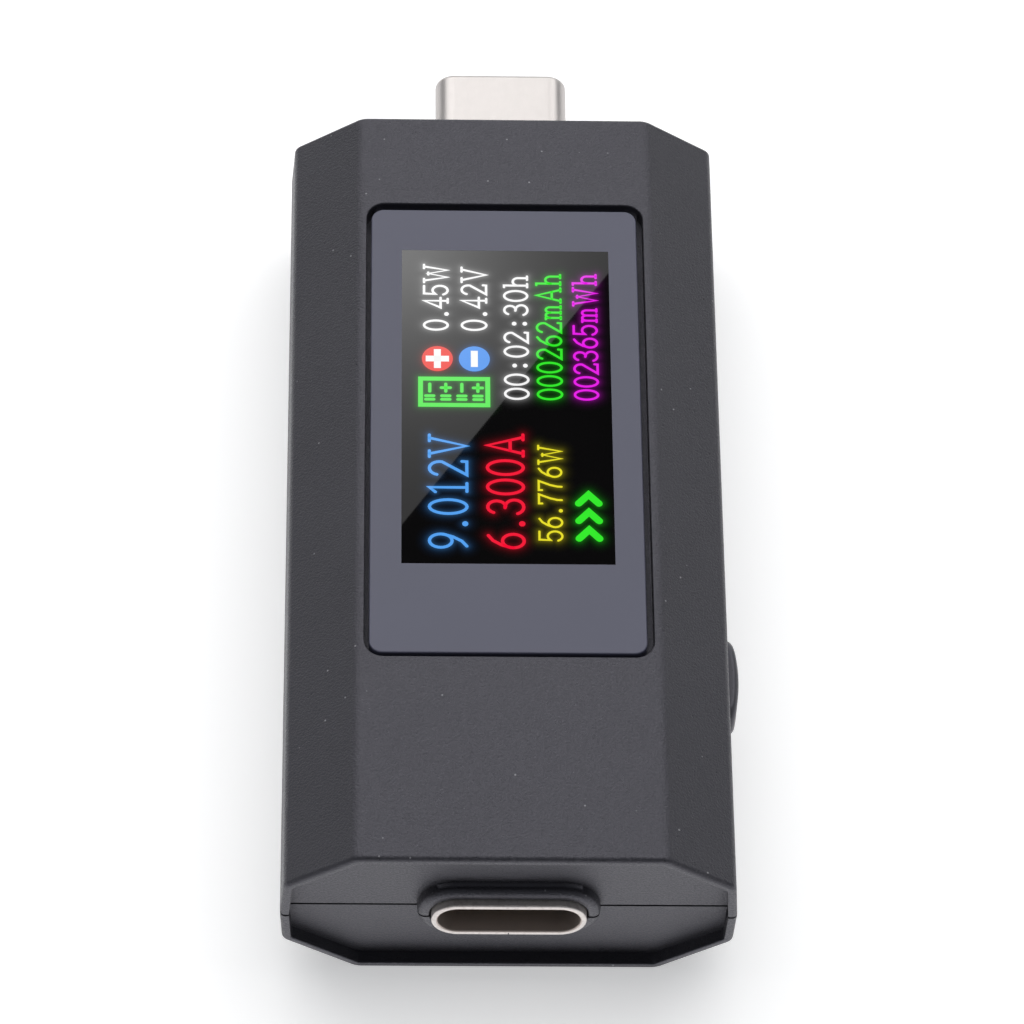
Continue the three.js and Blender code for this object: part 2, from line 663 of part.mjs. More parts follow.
function receptacleInsulator() {
  const { halfWidth, rail, thick, nearY, baseY } = TONGUE;
  const { width, height, wall, length } = RECEPTACLE;
  const inner = stadium(0, 0, width - 2 * wall - 0.06, height - 2 * wall - 0.06);
  const base = prismY(inner, baseY, length - 0.1);
  const tongue = box(-halfWidth, halfWidth, nearY, baseY + FIT, -thick / 2, thick / 2);
  const rails = [-1, 1].map((sign) =>
    box(...span(sign, 3.0, halfWidth), nearY, baseY + FIT, -rail, rail),
  );
  const nose = box(-halfWidth, halfWidth, nearY, nearY + 0.25, -rail, rail);
  const step = box(-halfWidth, halfWidth, baseY - 1.1, baseY + FIT, -0.5, 0.5);
  const contactTop = BOARD.thick / 2 + 2 * FIT + 0.08;
  const channels = [-1, 1].map((sign) =>
    box(-2.95, 2.95, nearY + 0.25, length + THROUGH, ...span(sign, SOCKET_CONTACT.low - FIT, contactTop)),
  );
  return joined([base, tongue, ...rails, nose, step]).subtract(joined(channels));
}

add(receptacle, "receptacle_shell", receptacleShell(), STEEL);
add(receptacle, "receptacle_tongue", receptacleInsulator(), BLACK_PLASTIC);
add(receptacle, "receptacle_contacts_upper", receptacleContacts(), GOLD);
add(receptacle, "receptacle_contacts_lower", receptacleContacts(), GOLD).rotation.y = Math.PI;

// ---------------------------------------------------------------- USB-C plug

// Its origin is the middle of the plug's back end, and the plug runs along +Y from it.
const plug = groupAt(0, PLUG.rearY, PORT_Z);
const PLUG_LENGTH = FAR_Y + PLUG.exposed - PLUG.rearY;
const EAR_BOTTOM = BOARD.thick / 2 + FIT;
const MOUTH = { width: 6.9, height: 1.5, depth: 5.4 };
const BEAM = { root: 0.42, thick: 0.12, tip: 0.32 };

function plugShell() {
  const { width, height, wall } = PLUG;
  const tube = prismY(stadium(0, 0, width, height), 0, PLUG_LENGTH).subtract(
    prismY(stadium(0, 0, width - 2 * wall, height - 2 * wall), -THROUGH, PLUG_LENGTH + THROUGH),
  );
  const ears = [-1, 1].map((sign) =>
    box(...span(sign, width / 2 - 0.22, width / 2 + 1.22), 0.1, 1.2, EAR_BOTTOM, EAR_BOTTOM + wall),
  );
  return joined([tube, ...ears]);
}

function plugInsulator() {
  const { width, height, wall } = PLUG;
  const inner = stadium(0, 0, width - 2 * wall - 0.06, height - 2 * wall - 0.06);
  const body = prismY(inner, 0.4, PLUG_LENGTH - 0.25);
  const end = PLUG_LENGTH + THROUGH;
  const half = MOUTH.width / 2;
  const mouth = box(-half, half, PLUG_LENGTH - MOUTH.depth, end, -MOUTH.height / 2, MOUTH.height / 2);
  const slots = [-1, 1].flatMap((sign) => [
    box(-2.95, 2.95, -THROUGH, PLUG_LENGTH - 2.2, ...span(sign, BEAM.root - 0.04, BEAM.root + 0.32)),
    box(...span(sign, 3.33, 3.77), PLUG_LENGTH - 9.4, end, -0.3, 0.3),
    box(-2.9, 2.9, PLUG_LENGTH - 2.0, end, ...span(sign, 0.73, 0.93)),
  ]);
  return body.subtract(joined([mouth, ...slots]));
}

// Spring contacts: straight through the body, then bent towards the middle of the mouth.
function plugContacts() {
  const { root, thick, tip } = BEAM;
  const bendY = PLUG_LENGTH - MOUTH.depth;
  const tipY = PLUG_LENGTH - 2.4;
  const profile = [
    [-0.9, root],
    [bendY, root],
    [tipY - 0.5, tip],
    [tipY, tip + 0.1],
    [tipY, tip + 0.1 + thick],
    [tipY - 0.5, tip + thick],
    [bendY, root + thick],
    [-0.9, root + thick],
  ];
  return contactRow(profile, [1.2, 1.4, root, root + thick]);
}

// A side latch: a flat spring with a hook at its tip that faces the middle of the mouth.
function plugLatch() {
  const tipY = PLUG_LENGTH - 1.1;
  const outline = polygon([
    [3.52, PLUG_LENGTH - 9.2],
    [3.67, PLUG_LENGTH - 9.2],
    [3.67, tipY],
    [3.40, tipY],
    [3.30, tipY - 0.35],
    [3.40, tipY - 0.8],
    [3.52, tipY - 1.0],
  ]);
  return prismZ(outline, -0.2, 0.2);
}

// A ground spring: a plate along the mouth's roof with three fingers that reach into the mouth.
function groundSpring() {
  const end = PLUG_LENGTH;
  const plate = box(-2.8, 2.8, end - 1.9, end - 0.9, 0.78, 0.88);
  const finger = polygon([
    [end - 0.55, 0.62],
    [end - 0.35, 0.7],
    [end - 0.35, 0.8],
    [end - 0.55, 0.72],
    [end - 1.0, 0.88],
    [end - 1.0, 0.78],
  ]);
  return joined([plate, ...[-1.9, 0, 1.9].map((x) => prismX(finger, x - 0.4, x + 0.4))]);
}

add(plug, "plug_shell", plugShell(), NICKEL);
add(plug, "plug_insulator", plugInsulator(), BLACK_PLASTIC);
add(plug, "plug_contacts_upper", plugContacts(), GOLD);
add(plug, "plug_contacts_lower", plugContacts(), GOLD).rotation.y = Math.PI;
add(plug, "plug_latch_right", plugLatch(), STEEL);
add(plug, "plug_latch_left", plugLatch(), STEEL).rotation.y = Math.PI;
add(plug, "plug_ground_spring_upper", groundSpring(), STEEL);
add(plug, "plug_ground_spring_lower", groundSpring(), STEEL).rotation.y = Math.PI;

// ---------------------------------------------------------------- side button and switch

// Its origin is level with the base, on the case's middle plane, beside the middle of the button.
const controls = groupAt(0, BUTTON.y, 0);
const SWITCH_FLOOR = BOARD_TOP + FIT;
const STEM_Z = BOARD_TOP + SWITCH.stemZ;
const POCKET = { length: 2.6, height: 1.1, innerX: 8.6 };
const STEM = { length: 1.3, height: 0.8, innerX: 9.0, tipX: 10.85 };
const COVER_THICK = 0.15;
const BOW_FACETS = 180; // facets in the whole circle that the button's face is part of

// A pill with a rounded rim and a face that bows outwards along its length, and a flange behind it
// that keeps it in the case.
function buttonCap() {
  const { z, length, height, tipX, crown, bow } = BUTTON;
  const pill = new THREE.ExtrudeGeometry(stadium(0, z, length - 2 * crown, height - 2 * crown), {
    depth: tipX - FLANGE.innerX - 2 * crown,
    bevelThickness: crown,
    bevelSize: crown,
    bevelSegments: 3,
    curveSegments: ARC_STEPS,
  });
  const bowed = new THREE.CylinderGeometry(bow, bow, 4 * height, BOW_FACETS).rotateX(Math.PI / 2);
  const plate = roundedRect(0, z, FLANGE.length, FLANGE.height, 0.6);
  return solid(pill.applyMatrix4(ALONG_X).translate(FLANGE.innerX + crown, 0, 0))
    .intersect(solid(bowed.translate(tipX - bow, 0, z)))
    .add(prismX(plate, FLANGE.innerX, FLANGE.outerX));
}

// A block with a pocket that opens towards the button.
function switchBody() {
  const { innerX, outerX, width, height } = SWITCH;
  const body = box(innerX, outerX, -width / 2, width / 2, SWITCH_FLOOR, SWITCH_FLOOR + height);
  const half = POCKET.length / 2;
  const low = STEM_Z - POCKET.height / 2;
  return body.subtract(box(POCKET.innerX, outerX + THROUGH, -half, half, low, low + POCKET.height));
}

// The metal cover: a front plate with a hole for the stem, a top plate, and two feet on the board.
function switchCover() {
  const { innerX, outerX, width, height } = SWITCH;
  const front = outerX + FIT;
  const outer = front + COVER_THICK;
  const bottom = SWITCH_FLOOR + height + FIT;
  const top = bottom + COVER_THICK;
  const half = width / 2 + FIT + COVER_THICK;
  const holeHalf = STEM.length / 2 + 0.12;
  const holeRise = STEM.height / 2 + 0.12;
  const hole = box(innerX, outer + THROUGH, -holeHalf, holeHalf, STEM_Z - holeRise, STEM_Z + holeRise);
  const feet = [-1, 1].map((sign) =>
    box(innerX + 0.6, innerX + 1.6, ...span(sign, half - COVER_THICK, half), SWITCH_FLOOR, top),
  );
  return joined([
    box(front, outer, -half, half, SWITCH_FLOOR, top).subtract(hole),
    box(innerX, outer, -half, half, bottom, top),
    ...feet,
  ]);
}

// The stem that the button pushes, with a foot that is wider than the hole in the cover.
function switchStem() {
  const half = STEM.length / 2;
  const stem = box(STEM.innerX, STEM.tipX, -half, half, STEM_Z - STEM.height / 2, STEM_Z + STEM.height / 2);
  return stem.add(box(STEM.innerX, STEM.innerX + 0.4, -1.1, 1.1, STEM_Z - 0.5, STEM_Z + 0.5));
}

// The snap dome: a thin shallow disc, hollow towards the back of the pocket.
const DOME = { rise: 0.26, radius: 0.5, thick: 0.05, steps: 4 };

function switchDome() {
  const arc = (lift) =>
    Array.from({ length: DOME.steps + 1 }, (_, i) => {
      const share = i / DOME.steps;
      return new THREE.Vector2(DOME.radius * share, DOME.rise * (1 - share * share) + lift);
    });
  const outline = [...arc(0), ...arc(DOME.thick).reverse()];
  const disc = new THREE.LatheGeometry([...outline, outline[0]], 2 * ARC_STEPS);
  return solid(disc.rotateZ(-Math.PI / 2).translate(POCKET.innerX + FIT, 0, STEM_Z));
}

add(controls, "side_button", buttonCap(), BUTTON_PLASTIC);
add(controls, "switch_body", switchBody(), BLACK_PLASTIC);
add(controls, "switch_cover", switchCover(), STEEL);
add(controls, "switch_stem", switchStem(), WHITE_PLASTIC);
add(controls, "switch_dome", switchDome(), STEEL);

export default meter;
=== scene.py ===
"""USB power meter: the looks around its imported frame. Lengths are in millimetres until MM scales them."""

import json
import math

import bmesh
import bpy
import numpy as np
from mathutils import Matrix, Vector


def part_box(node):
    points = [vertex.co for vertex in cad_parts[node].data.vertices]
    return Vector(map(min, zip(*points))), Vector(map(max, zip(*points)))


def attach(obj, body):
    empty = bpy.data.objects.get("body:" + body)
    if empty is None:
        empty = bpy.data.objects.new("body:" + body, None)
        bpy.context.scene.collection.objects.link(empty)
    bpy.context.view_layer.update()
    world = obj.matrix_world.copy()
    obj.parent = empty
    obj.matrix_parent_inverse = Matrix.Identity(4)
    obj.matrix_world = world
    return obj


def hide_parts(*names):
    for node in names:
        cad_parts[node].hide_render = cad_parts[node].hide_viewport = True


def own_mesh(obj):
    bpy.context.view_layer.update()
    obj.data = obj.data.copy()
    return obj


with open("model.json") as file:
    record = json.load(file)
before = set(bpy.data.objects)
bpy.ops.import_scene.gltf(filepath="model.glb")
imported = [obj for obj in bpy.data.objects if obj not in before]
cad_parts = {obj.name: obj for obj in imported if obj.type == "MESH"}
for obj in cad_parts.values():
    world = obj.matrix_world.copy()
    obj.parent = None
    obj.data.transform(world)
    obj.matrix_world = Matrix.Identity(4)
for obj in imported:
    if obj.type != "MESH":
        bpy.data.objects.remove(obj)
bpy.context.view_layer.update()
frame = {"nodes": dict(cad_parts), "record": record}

MM = 0.001

# ---------------- sizes of the case, in millimetres

FLAT_HALF = 8.8
LOWER_CORNER = (13.05, 3.15)
UPPER_CORNER = (12.92, 9.15)
PARTING_Z = 5.91
PARTING_HALF = 13.15
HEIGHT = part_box("upper_shell")[1].z / MM
NEAR_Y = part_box("upper_shell")[0].y / MM
FAR_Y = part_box("upper_shell")[1].y / MM
RIM_WALL = 0.55
END_RECESS = 0.8
END_WALL = 1.2
PORT_Z = 6.12
COLLAR = (10.6, 4.7)
SOCKET = (8.94, 3.16)
PLUG = (8.25, 2.4)
PORT_GAP = 0.16
WINDOW = {"x": 16.84, "y": 33.04, "centre_y": 3.5, "corner": 1.1, "depth": 1.05}
LENS_GROOVE = 0.33
LENS_AT = (-0.06, 3.43)
LENS_SUNK = 0.08
LENS_THICK = 0.8
SCREEN = {"x": 12.56, "y": 23.04, "centre_y": 4.99}
BUTTON = {"y": -11.4, "z": 6.42, "length": 6.2, "height": 2.6, "crown": 0.4, "bow": 12.0}
BUTTON_GAP = 0.15
BOARD_THICK = 0.8
BOARD_CLEAR = 0.02  # between the board and the feet of the connectors

EDGE_STEPS = 8  # facets in each rounded edge
END_FLAT = 0.004  # the flat left at each end of a stadium


# ---------------- outlines and lofts


def inset(points, distance):
    """A convex, anticlockwise outline with its edges moved inwards."""
    edges = []
    for i, (ax, ay) in enumerate(points):
        bx, by = points[(i + 1) % len(points)]
        length = math.hypot(bx - ax, by - ay)
        nx, ny = -(by - ay) / length, (bx - ax) / length
        edges.append((nx, ny, nx * ax + ny * ay + distance))
    corners = []
    for i, (nx, ny, offset) in enumerate(edges):
        px, py, before = edges[i - 1]
        det = px * ny - py * nx
        corners.append(((before * ny - py * offset) / det, (px * offset - before * nx) / det))
    return corners


def rounded(points, radii, steps=EDGE_STEPS):
    """A convex, anticlockwise outline with an arc of steps facets in place of each corner."""
    outline = []
    for i, point in enumerate(points):
        corner = Vector(point)
        back = (Vector(points[i - 1]) - corner).normalized()
        ahead = (Vector(points[(i + 1) % len(points)]) - corner).normalized()
        half = back.angle(ahead) / 2
        reach = radii[i] / math.tan(half)
        centre = corner + (back + ahead).normalized() * (radii[i] / math.sin(half))
        start = corner + back * reach - centre
        turn = math.pi - 2 * half
        for k in range(steps + 1):
            angle = turn * k / steps
            cos, sin = math.cos(angle), math.sin(angle)
            turned = Vector((start.x * cos - start.y * sin, start.x * sin + start.y * cos))
            outline.append(tuple(centre + turned))
    return outline


def rounded_box(cx, cy, width, height, radius, steps=EDGE_STEPS):
    x, y = width / 2, height / 2
    points = [(cx + x, cy - y), (cx + x, cy + y), (cx - x, cy + y), (cx - x, cy - y)]
    return rounded(points, [radius] * 4, steps)


def stadium(cx, cy, width, height, grow=0.0):
    width, height = width + 2 * grow, height + 2 * grow
    return rounded_box(cx, cy, width, height, height / 2 - END_FLAT / 2, 2 * EDGE_STEPS)


def along_x(outline, x):
    return [(x, u, v) for u, v in outline]


def along_y(outline, y):
    return [(u, y, v) for u, v in outline]


def along_z(outline, z):
    return [(u, v, z) for u, v in outline]


def join_rings(bm, low, high):
    """Faces between two closed rings of as many points each."""
    for i in range(len(low)):
        j = (i + 1) % len(low)
        bm.faces.new((low[i], low[j], high[j], high[i]))


def loft(name, rings, closed=False):
    """A mesh object through rings of equal length. closed joins the last ring to the first, uncapped."""
    bm = bmesh.new()
    rows = [[bm.verts.new([c * MM for c in point]) for point in ring] for ring in rings]
    pairs = list(zip(rows, rows[1:]))
    if closed:
        pairs.append((rows[-1], rows[0]))
    for low, high in pairs:
        join_rings(bm, low, high)
    if not closed:
        bm.faces.new(rows[0][::-1])
        bm.faces.new(rows[-1])
    return object_from(name, bm)


def object_from(name, bm):
    """An object of a closed bmesh, its faces turned outwards."""
    bmesh.ops.recalc_face_normals(bm, faces=bm.faces)
    if bm.calc_volume(signed=True) < 0:
        bmesh.ops.reverse_faces(bm, faces=bm.faces)
    mesh = bpy.data.meshes.new(name)
    bm.to_mesh(mesh)
    bm.free()
    obj = bpy.data.objects.new(name, mesh)
    bpy.context.scene.collection.objects.link(obj)
    return obj


def block(name, x0, x1, y0, y1, z0, z1):
    ring = [(x0, y0), (x1, y0), (x1, y1), (x0, y1)]
    return loft(name, [along_z(ring, z0), along_z(ring, z1)])


def combine(obj, other, operation):
    """Joins, cuts or intersects obj with other, and removes other."""
    modifier = obj.modifiers.new("boolean", "BOOLEAN")
    modifier.operation = operation
    modifier.solver = "EXACT"
    modifier.object = other
    bake_modifiers(obj)
    bpy.data.objects.remove(other)
    return obj


def bake_modifiers(obj):
    bpy.context.view_layer.update()
    graph = bpy.context.evaluated_depsgraph_get()
    mesh = bpy.data.meshes.new_from_object(obj.evaluated_get(graph))
    obj.modifiers.clear()
    old, obj.data = obj.data, mesh
    bpy.data.meshes.remove(old)


def smooth(obj, angle=35.0):
    """Smooth shading that stays flat on the large faces and sharp at corners over angle degrees."""
    obj.data.polygons.foreach_set("use_smooth", [True] * len(obj.data.polygons))
    obj.data.set_sharp_from_angle(angle=math.radians(angle))
    normals = obj.modifiers.new("normals", "WEIGHTED_NORMAL")
    normals.mode = "FACE_AREA"
    normals.keep_sharp = True
    bake_modifiers(obj)
    return obj


def quarter(radius, steps=EDGE_STEPS):
    """Pairs (along, across) that run a quarter circle, from (radius, 0) to (0, radius), from its corner."""
    return [
        (radius * (1 - math.sin(a)), radius * (1 - math.cos(a)))
        for a in (math.pi / 2 * k / steps for k in range(steps + 1))
    ]


def finished(obj, name, body, slot, material, *nodes):
    """Names a piece, gives it its material, and ties it to the frame in place of the CAD nodes."""
    obj.name = name
    obj.data.name = name
    obj.data.materials.clear()
    obj.data.materials.append(material)
    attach(obj, body)
    if nodes:
        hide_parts(*nodes)
    return obj


# ---------------- shader nodes

CASE_COLOUR = (0.015, 0.015, 0.0175)
CASE_TINT = (0.88, 0.865, 1.0, 1.0)
BUTTON_COLOUR = (0.03, 0.03, 0.034)
DUST_COLOUR = (0.3, 0.3, 0.31)
BEZEL_COLOUR = (0.077, 0.079, 0.12)
# Painted shade: the darker colour inside the socket's bore is partly oxide and partly the shade within the
# tube painted into the steel.
BORE_OXIDE_AND_SHADE = (0.4, 0.345, 0.315)
STAIN_COLOUR = (0.16, 0.12, 0.1)
SCREEN_ROUGH = 0.01
SCREEN_IOR = 1.28


class Shader:
    """A material's node tree, with short calls for the nodes that the materials share."""

    def __init__(self, name):
        self.material = bpy.data.materials.new(name)
        self.material.use_nodes = True
        self.nodes = self.material.node_tree.nodes
        self.links = self.material.node_tree.links
        self.principled = self.nodes["Principled BSDF"]
        self.place = self.nodes.new("ShaderNodeTexCoord").outputs["Object"]

    def set(self, **values):
        for name, value in values.items():
            self.principled.inputs[name.replace("_", " ")].default_value = value
        return self

    def link(self, output, name):
        self.links.new(output, self.principled.inputs[name])

    def stretched(self, scale):
        node = self.nodes.new("ShaderNodeMapping")
        node.inputs["Scale"].default_value = scale
        self.links.new(self.place, node.inputs["Vector"])
        return node.outputs["Vector"]

    def noise(self, size_mm, detail=2.0, rough=0.5, vector=None):
        """Noise whose features are about size_mm across."""
        node = self.nodes.new("ShaderNodeTexNoise")
        node.inputs["Scale"].default_value = 1 / (size_mm * MM)
        node.inputs["Detail"].default_value = detail
        node.inputs["Roughness"].default_value = rough
        self.links.new(vector or self.place, node.inputs["Vector"])
        return node.outputs["Fac"]

    def cells(self, size_mm):
        """Distance to the nearest of scattered points, about size_mm apart, and a random colour for each."""
        node = self.nodes.new("ShaderNodeTexVoronoi")
        node.inputs["Scale"].default_value = 1 / (size_mm * MM)
        self.links.new(self.place, node.inputs["Vector"])
        return node.outputs["Distance"], node.outputs["Color"]

    def ramp(self, value, low, high, start=0.0, end=1.0):
        """value taken from the stretch start..end to low..high, clamped."""
        node = self.nodes.new("ShaderNodeMapRange")
        for name, number in (("From Min", start), ("From Max", end), ("To Min", low), ("To Max", high)):
            node.inputs[name].default_value = number
        self.links.new(value, node.inputs["Value"])
        return node.outputs["Result"]

    def math(self, operation, a, b):
        node = self.nodes.new("ShaderNodeMath")
        node.operation = operation
        for slot, value in zip(node.inputs, (a, b)):
            if isinstance(value, (int, float)):
                slot.default_value = value
            else:
                self.links.new(value, slot)
        return node.outputs["Value"]

    def mix(self, factor, a, b):
        """Colour a where factor is 0 and colour b where it is 1."""
        node = self.nodes.new("ShaderNodeMix")
        node.data_type = "RGBA"
        self.links.new(factor, node.inputs["Factor"])
        for slot, value in ((node.inputs[6], a), (node.inputs[7], b)):
            if isinstance(value, tuple):
                slot.default_value = (*value, 1.0)
            else:
                self.links.new(value, slot)
        return node.outputs[2]

    def reach_from_bar(self, half_width, z):
        """Distance in millimetres from a bar that lies across the part at height z, in a section along Y."""
        split = self.nodes.new("ShaderNodeSeparateXYZ")
        self.links.new(self.place, split.inputs["Vector"])
        side = self.math("ABSOLUTE", split.outputs["X"], 0)
        across = self.math("MAXIMUM", self.math("SUBTRACT", side, half_width * MM), 0.0)
        rise = self.math("SUBTRACT", split.outputs["Z"], z * MM)
        square = self.math("ADD", self.math("POWER", across, 2.0), self.math("MULTIPLY", rise, rise))
        return self.math("DIVIDE", self.math("SQRT", square, 0), MM)

    def bump(self, height, depth_mm, before=None):
        node = self.nodes.new("ShaderNodeBump")
        node.inputs["Strength"].default_value = 1.0
        node.inputs["Distance"].default_value = depth_mm * MM
        self.links.new(height, node.inputs["Height"])
        if before:
            self.links.new(before, node.inputs["Normal"])
        return node.outputs["Normal"]


def shades(colour, dark, light):
    """A darker and a lighter shade of a colour."""
    return tuple(c * dark for c in colour), tuple(min(1.0, c * light) for c in colour)


def textured_plastic(name, colour, rough, grain_mm=0.13, depth_mm=0.045, dust=True):
    """Moulded plastic with a fine spark-eroded grain, slow changes of tone, and a little dust."""
    s = Shader(name).set(Roughness=rough, IOR=1.6, Specular_Tint=CASE_TINT)
    grain = s.noise(grain_mm, 3.0, 0.6)
    cloud = s.noise(9.0, 2.0)
    shade = s.math("ADD", s.ramp(grain, 0.0, 0.6, 0.3, 0.7), s.ramp(cloud, 0.0, 0.4, 0.35, 0.65))
    tone = s.mix(shade, *shades(colour, 0.8, 1.25))
    if dust:
        distance, choice = s.cells(1.1)
        dot = s.ramp(distance, 0.8, 0.0, 0.03, 0.07)
        picked = s.ramp(choice, 0.0, 1.0, 0.57, 0.61)
        tone = s.mix(s.math("MULTIPLY", dot, picked), tone, DUST_COLOUR)
    s.link(tone, "Base Color")
    s.link(s.ramp(grain, rough - 0.15, rough + 0.15, 0.3, 0.7), "Roughness")
    s.link(s.bump(grain, depth_mm), "Normal")
    return s.material


def smooth_plastic(name, colour, rough):
    """Plain moulded plastic: a soft change of tone and a faint surface."""
    s = Shader(name).set(Roughness=rough, IOR=1.5)
    cloud = s.noise(1.3, 3.0)
    s.link(s.mix(cloud, *shades(colour, 0.85, 1.15)), "Base Color")
    s.link(s.ramp(cloud, rough - 0.05, rough + 0.08), "Roughness")
    s.link(s.bump(s.noise(0.12, 2.0), 0.002), "Normal")
    return s.material


def drawn_metal(name, colour, rough, grain_scale=(1.0, 0.06, 1.0), stain=0.0, bore=None, metallic=1.0):
    """Formed sheet metal with fine lines along it and uneven polish, and perhaps brown stains or a darker
    bore that is partly oxide and partly painted shade inside the tube.

    bore is the half-width and height of the bar about which the bore runs, and the bore's radius.
    """
    s = Shader(name).set(Metallic=metallic, Roughness=rough)
    lines = s.noise(0.05, 2.0, 0.5, s.stretched(grain_scale))
    cloud = s.noise(0.9, 3.0)
    tone = s.mix(cloud, *shades(colour, 0.86, 1.0))
    if stain:
        marks = s.ramp(s.noise(0.28, 4.0, 0.65), 0.0, stain, 0.48, 0.68)
        tone = s.mix(marks, tone, STAIN_COLOUR)
    # The bore's darker tone is partly oxide and partly painted shade within the tube.
    if bore:
        half_width, z, radius = bore
        oxide_and_shade = s.ramp(s.reach_from_bar(half_width, z), 1.0, 0.0, radius - 0.02, radius)
        tone = s.mix(oxide_and_shade, tone, BORE_OXIDE_AND_SHADE)
    s.link(tone, "Base Color")
    s.link(s.math("ADD", s.ramp(lines, -0.06, 0.1), s.ramp(cloud, rough, rough + 0.1)), "Roughness")
    s.link(s.bump(lines, 0.0015), "Normal")
    return s.material


def laminate(name):
    """Green solder mask: copper tracks show through it as a lighter, slightly raised pattern."""
    s = Shader(name).set(Roughness=0.38, IOR=1.5)
    distance, choice = s.cells(1.1)
    track = s.ramp(choice, 0.0, 1.0, 0.45, 0.55)
    tone = s.mix(track, (0.006, 0.075, 0.03), (0.012, 0.13, 0.055))
    via = s.ramp(distance, 1.0, 0.0, 0.08, 0.12)
    s.link(s.mix(via, tone, (0.5, 0.4, 0.2)), "Base Color")
    s.link(s.ramp(s.noise(0.3), 0.3, 0.45), "Roughness")
    s.link(s.bump(track, 0.02), "Normal")
    return s.material


def foam(name):
    s = Shader(name).set(Roughness=0.95)
    distance, _ = s.cells(0.22)
    wall = s.ramp(distance, 0.0, 1.0, 0.0, 0.5)
    s.link(s.mix(wall, (0.008, 0.008, 0.008), (0.04, 0.04, 0.04)), "Base Color")
    s.link(s.bump(distance, 0.06), "Normal")
    return s.material


def bezel_print(name):
    """Grey-blue ink seen through the satin hard coat of the window."""
    s = Shader(name).set(IOR=1.49)
    s.link(s.mix(s.noise(6.0, 3.0), *shades(BEZEL_COLOUR, 0.96, 1.04)), "Base Color")
    s.link(s.ramp(s.noise(0.4, 3.0), 0.4, 0.46), "Roughness")
    s.link(s.bump(s.noise(0.25, 2.0), 0.0006), "Normal")
    return s.material


def screen_glass(name):
    """The dark screen behind the clear part of the window, with the glow round the lit strokes."""
    s = Shader(name).set(IOR=SCREEN_IOR, Roughness=SCREEN_ROUGH, Emission_Strength=1.0)
    glow = s.nodes.new("ShaderNodeVertexColor")
    glow.layer_name = GLOW
    s.link(glow.outputs["Color"], "Emission Color")
    s.link(s.mix(s.noise(4.0), (0.0032, 0.003, 0.0032), (0.0044, 0.0042, 0.0044)), "Base Color")
    return s.material


def lit_ink(name, colour):
    """One colour of the readout: bright, under the same gloss as the screen round it."""
    s = Shader(name).set(IOR=SCREEN_IOR, Roughness=SCREEN_ROUGH, Emission_Strength=1.0)
    s.set(Base_Color=(0.01, 0.01, 0.01, 1.0))
    s.link(s.mix(s.noise(0.5, 1.0), *shades(colour, 0.92, 1.0)), "Emission Color")
    return s.material


# ---------------- case

CHAMFER_ROUND = 1.2
SIDE_ROUND = 0.7
PARTING_ROUND = 0.5
END_ROUND = 0.3
RIM_INNER_ROUND = 0.08
FLOOR_ROUND = 0.12
COLLAR_ROUND = 0.42
SEAM = {"width": 0.17, "depth": 0.16}  # the groove along the parting plane
FACET_SAG = 0.025  # how far the CAD's coarse arcs cut inside true ones
SKIN = 0.005  # how far the fine faces lie inside the CAD's, so that none of them coincide
LEAST_ROUND = 0.25
COLLAR_FOOT = 0.3  # how far a collar goes into the end wall
NECK_HALF = 1.5  # half the height of the case's core at the groove
PAST_SIDES = 20.0  # how far a slab that cuts the case reaches
PAST_ENDS = 2.0
FLARE = {"turn": 80, "past": 0.6}  # the rounded mouth of a cutter: degrees of arc, and its reach outside
PORT_CUT = {"lip": 0.12, "past": 0.5}
WINDOW_LIP = 0.1
BUTTON_CUT = {"lip": 0.14, "sunk": 0.01, "depth": 3.0}
RIM_SEAL = {"x": (12.65, 12.93), "y": (0.2, 1.0), "below": 0.1, "above": 0.012}

RIGHT_SIDE = [(FLAT_HALF, 0.0), LOWER_CORNER, (PARTING_HALF, PARTING_Z), UPPER_CORNER, (FLAT_HALF, HEIGHT)]
SIDE_ROUNDS = [CHAMFER_ROUND, SIDE_ROUND, PARTING_ROUND, SIDE_ROUND, CHAMFER_ROUND]
SECTION = RIGHT_SIDE + [(-x, z) for x, z in RIGHT_SIDE[::-1]]


def case_outline(depth):
    """The case's section with its faces moved inwards by depth and its corners rounded."""
    return rounded(inset(SECTION, depth), [max(r - depth, LEAST_ROUND) for r in SIDE_ROUNDS * 2])


def end_profile(inward):
    """Pairs (y in from the end plane, depth in from the sides), from the recess's floor over the rim."""
    floor, wall = END_RECESS + inward, RIM_WALL - inward
    profile = [(floor - along, wall + across) for along, across in quarter(FLOOR_ROUND, 4)[::-1]]
    profile += [(inward + along, wall - across) for along, across in quarter(RIM_INNER_ROUND, 5)]
    profile += [(inward + along, inward + across) for along, across in quarter(END_ROUND, 6)[::-1]]
    return profile


def collar(y_rim, outwards, inward):
    """A raised ring round a port: its front edge rounded, its foot buried in the end face."""
    width, height = COLLAR
    front = y_rim - outwards * inward
    shrink = inward + FACET_SAG
    profile = [(END_RECESS + COLLAR_FOOT, 0.0)] + quarter(COLLAR_ROUND)
    return loft("collar", [
        along_y(stadium(0, PORT_Z, width, height, -shrink - across), front - outwards * along)
        for along, across in profile
    ])


def case_form(inward):
    """The outer form of the whole case, solid, with its faces moved inwards."""
    profile = end_profile(inward)
    rings = [along_y(case_outline(depth), NEAR_Y + y) for y, depth in profile]
    rings += [along_y(case_outline(depth), FAR_Y - y) for y, depth in reversed(profile)]
    form = loft("form", rings)
    combine(form, collar(NEAR_Y, -1.0, inward), "UNION")
    return combine(form, collar(FAR_Y, 1.0, inward), "UNION")


def slab(z0, z1):
    return block("slab", -PAST_SIDES, PAST_SIDES, NEAR_Y - PAST_ENDS, FAR_Y + PAST_ENDS, z0, z1)


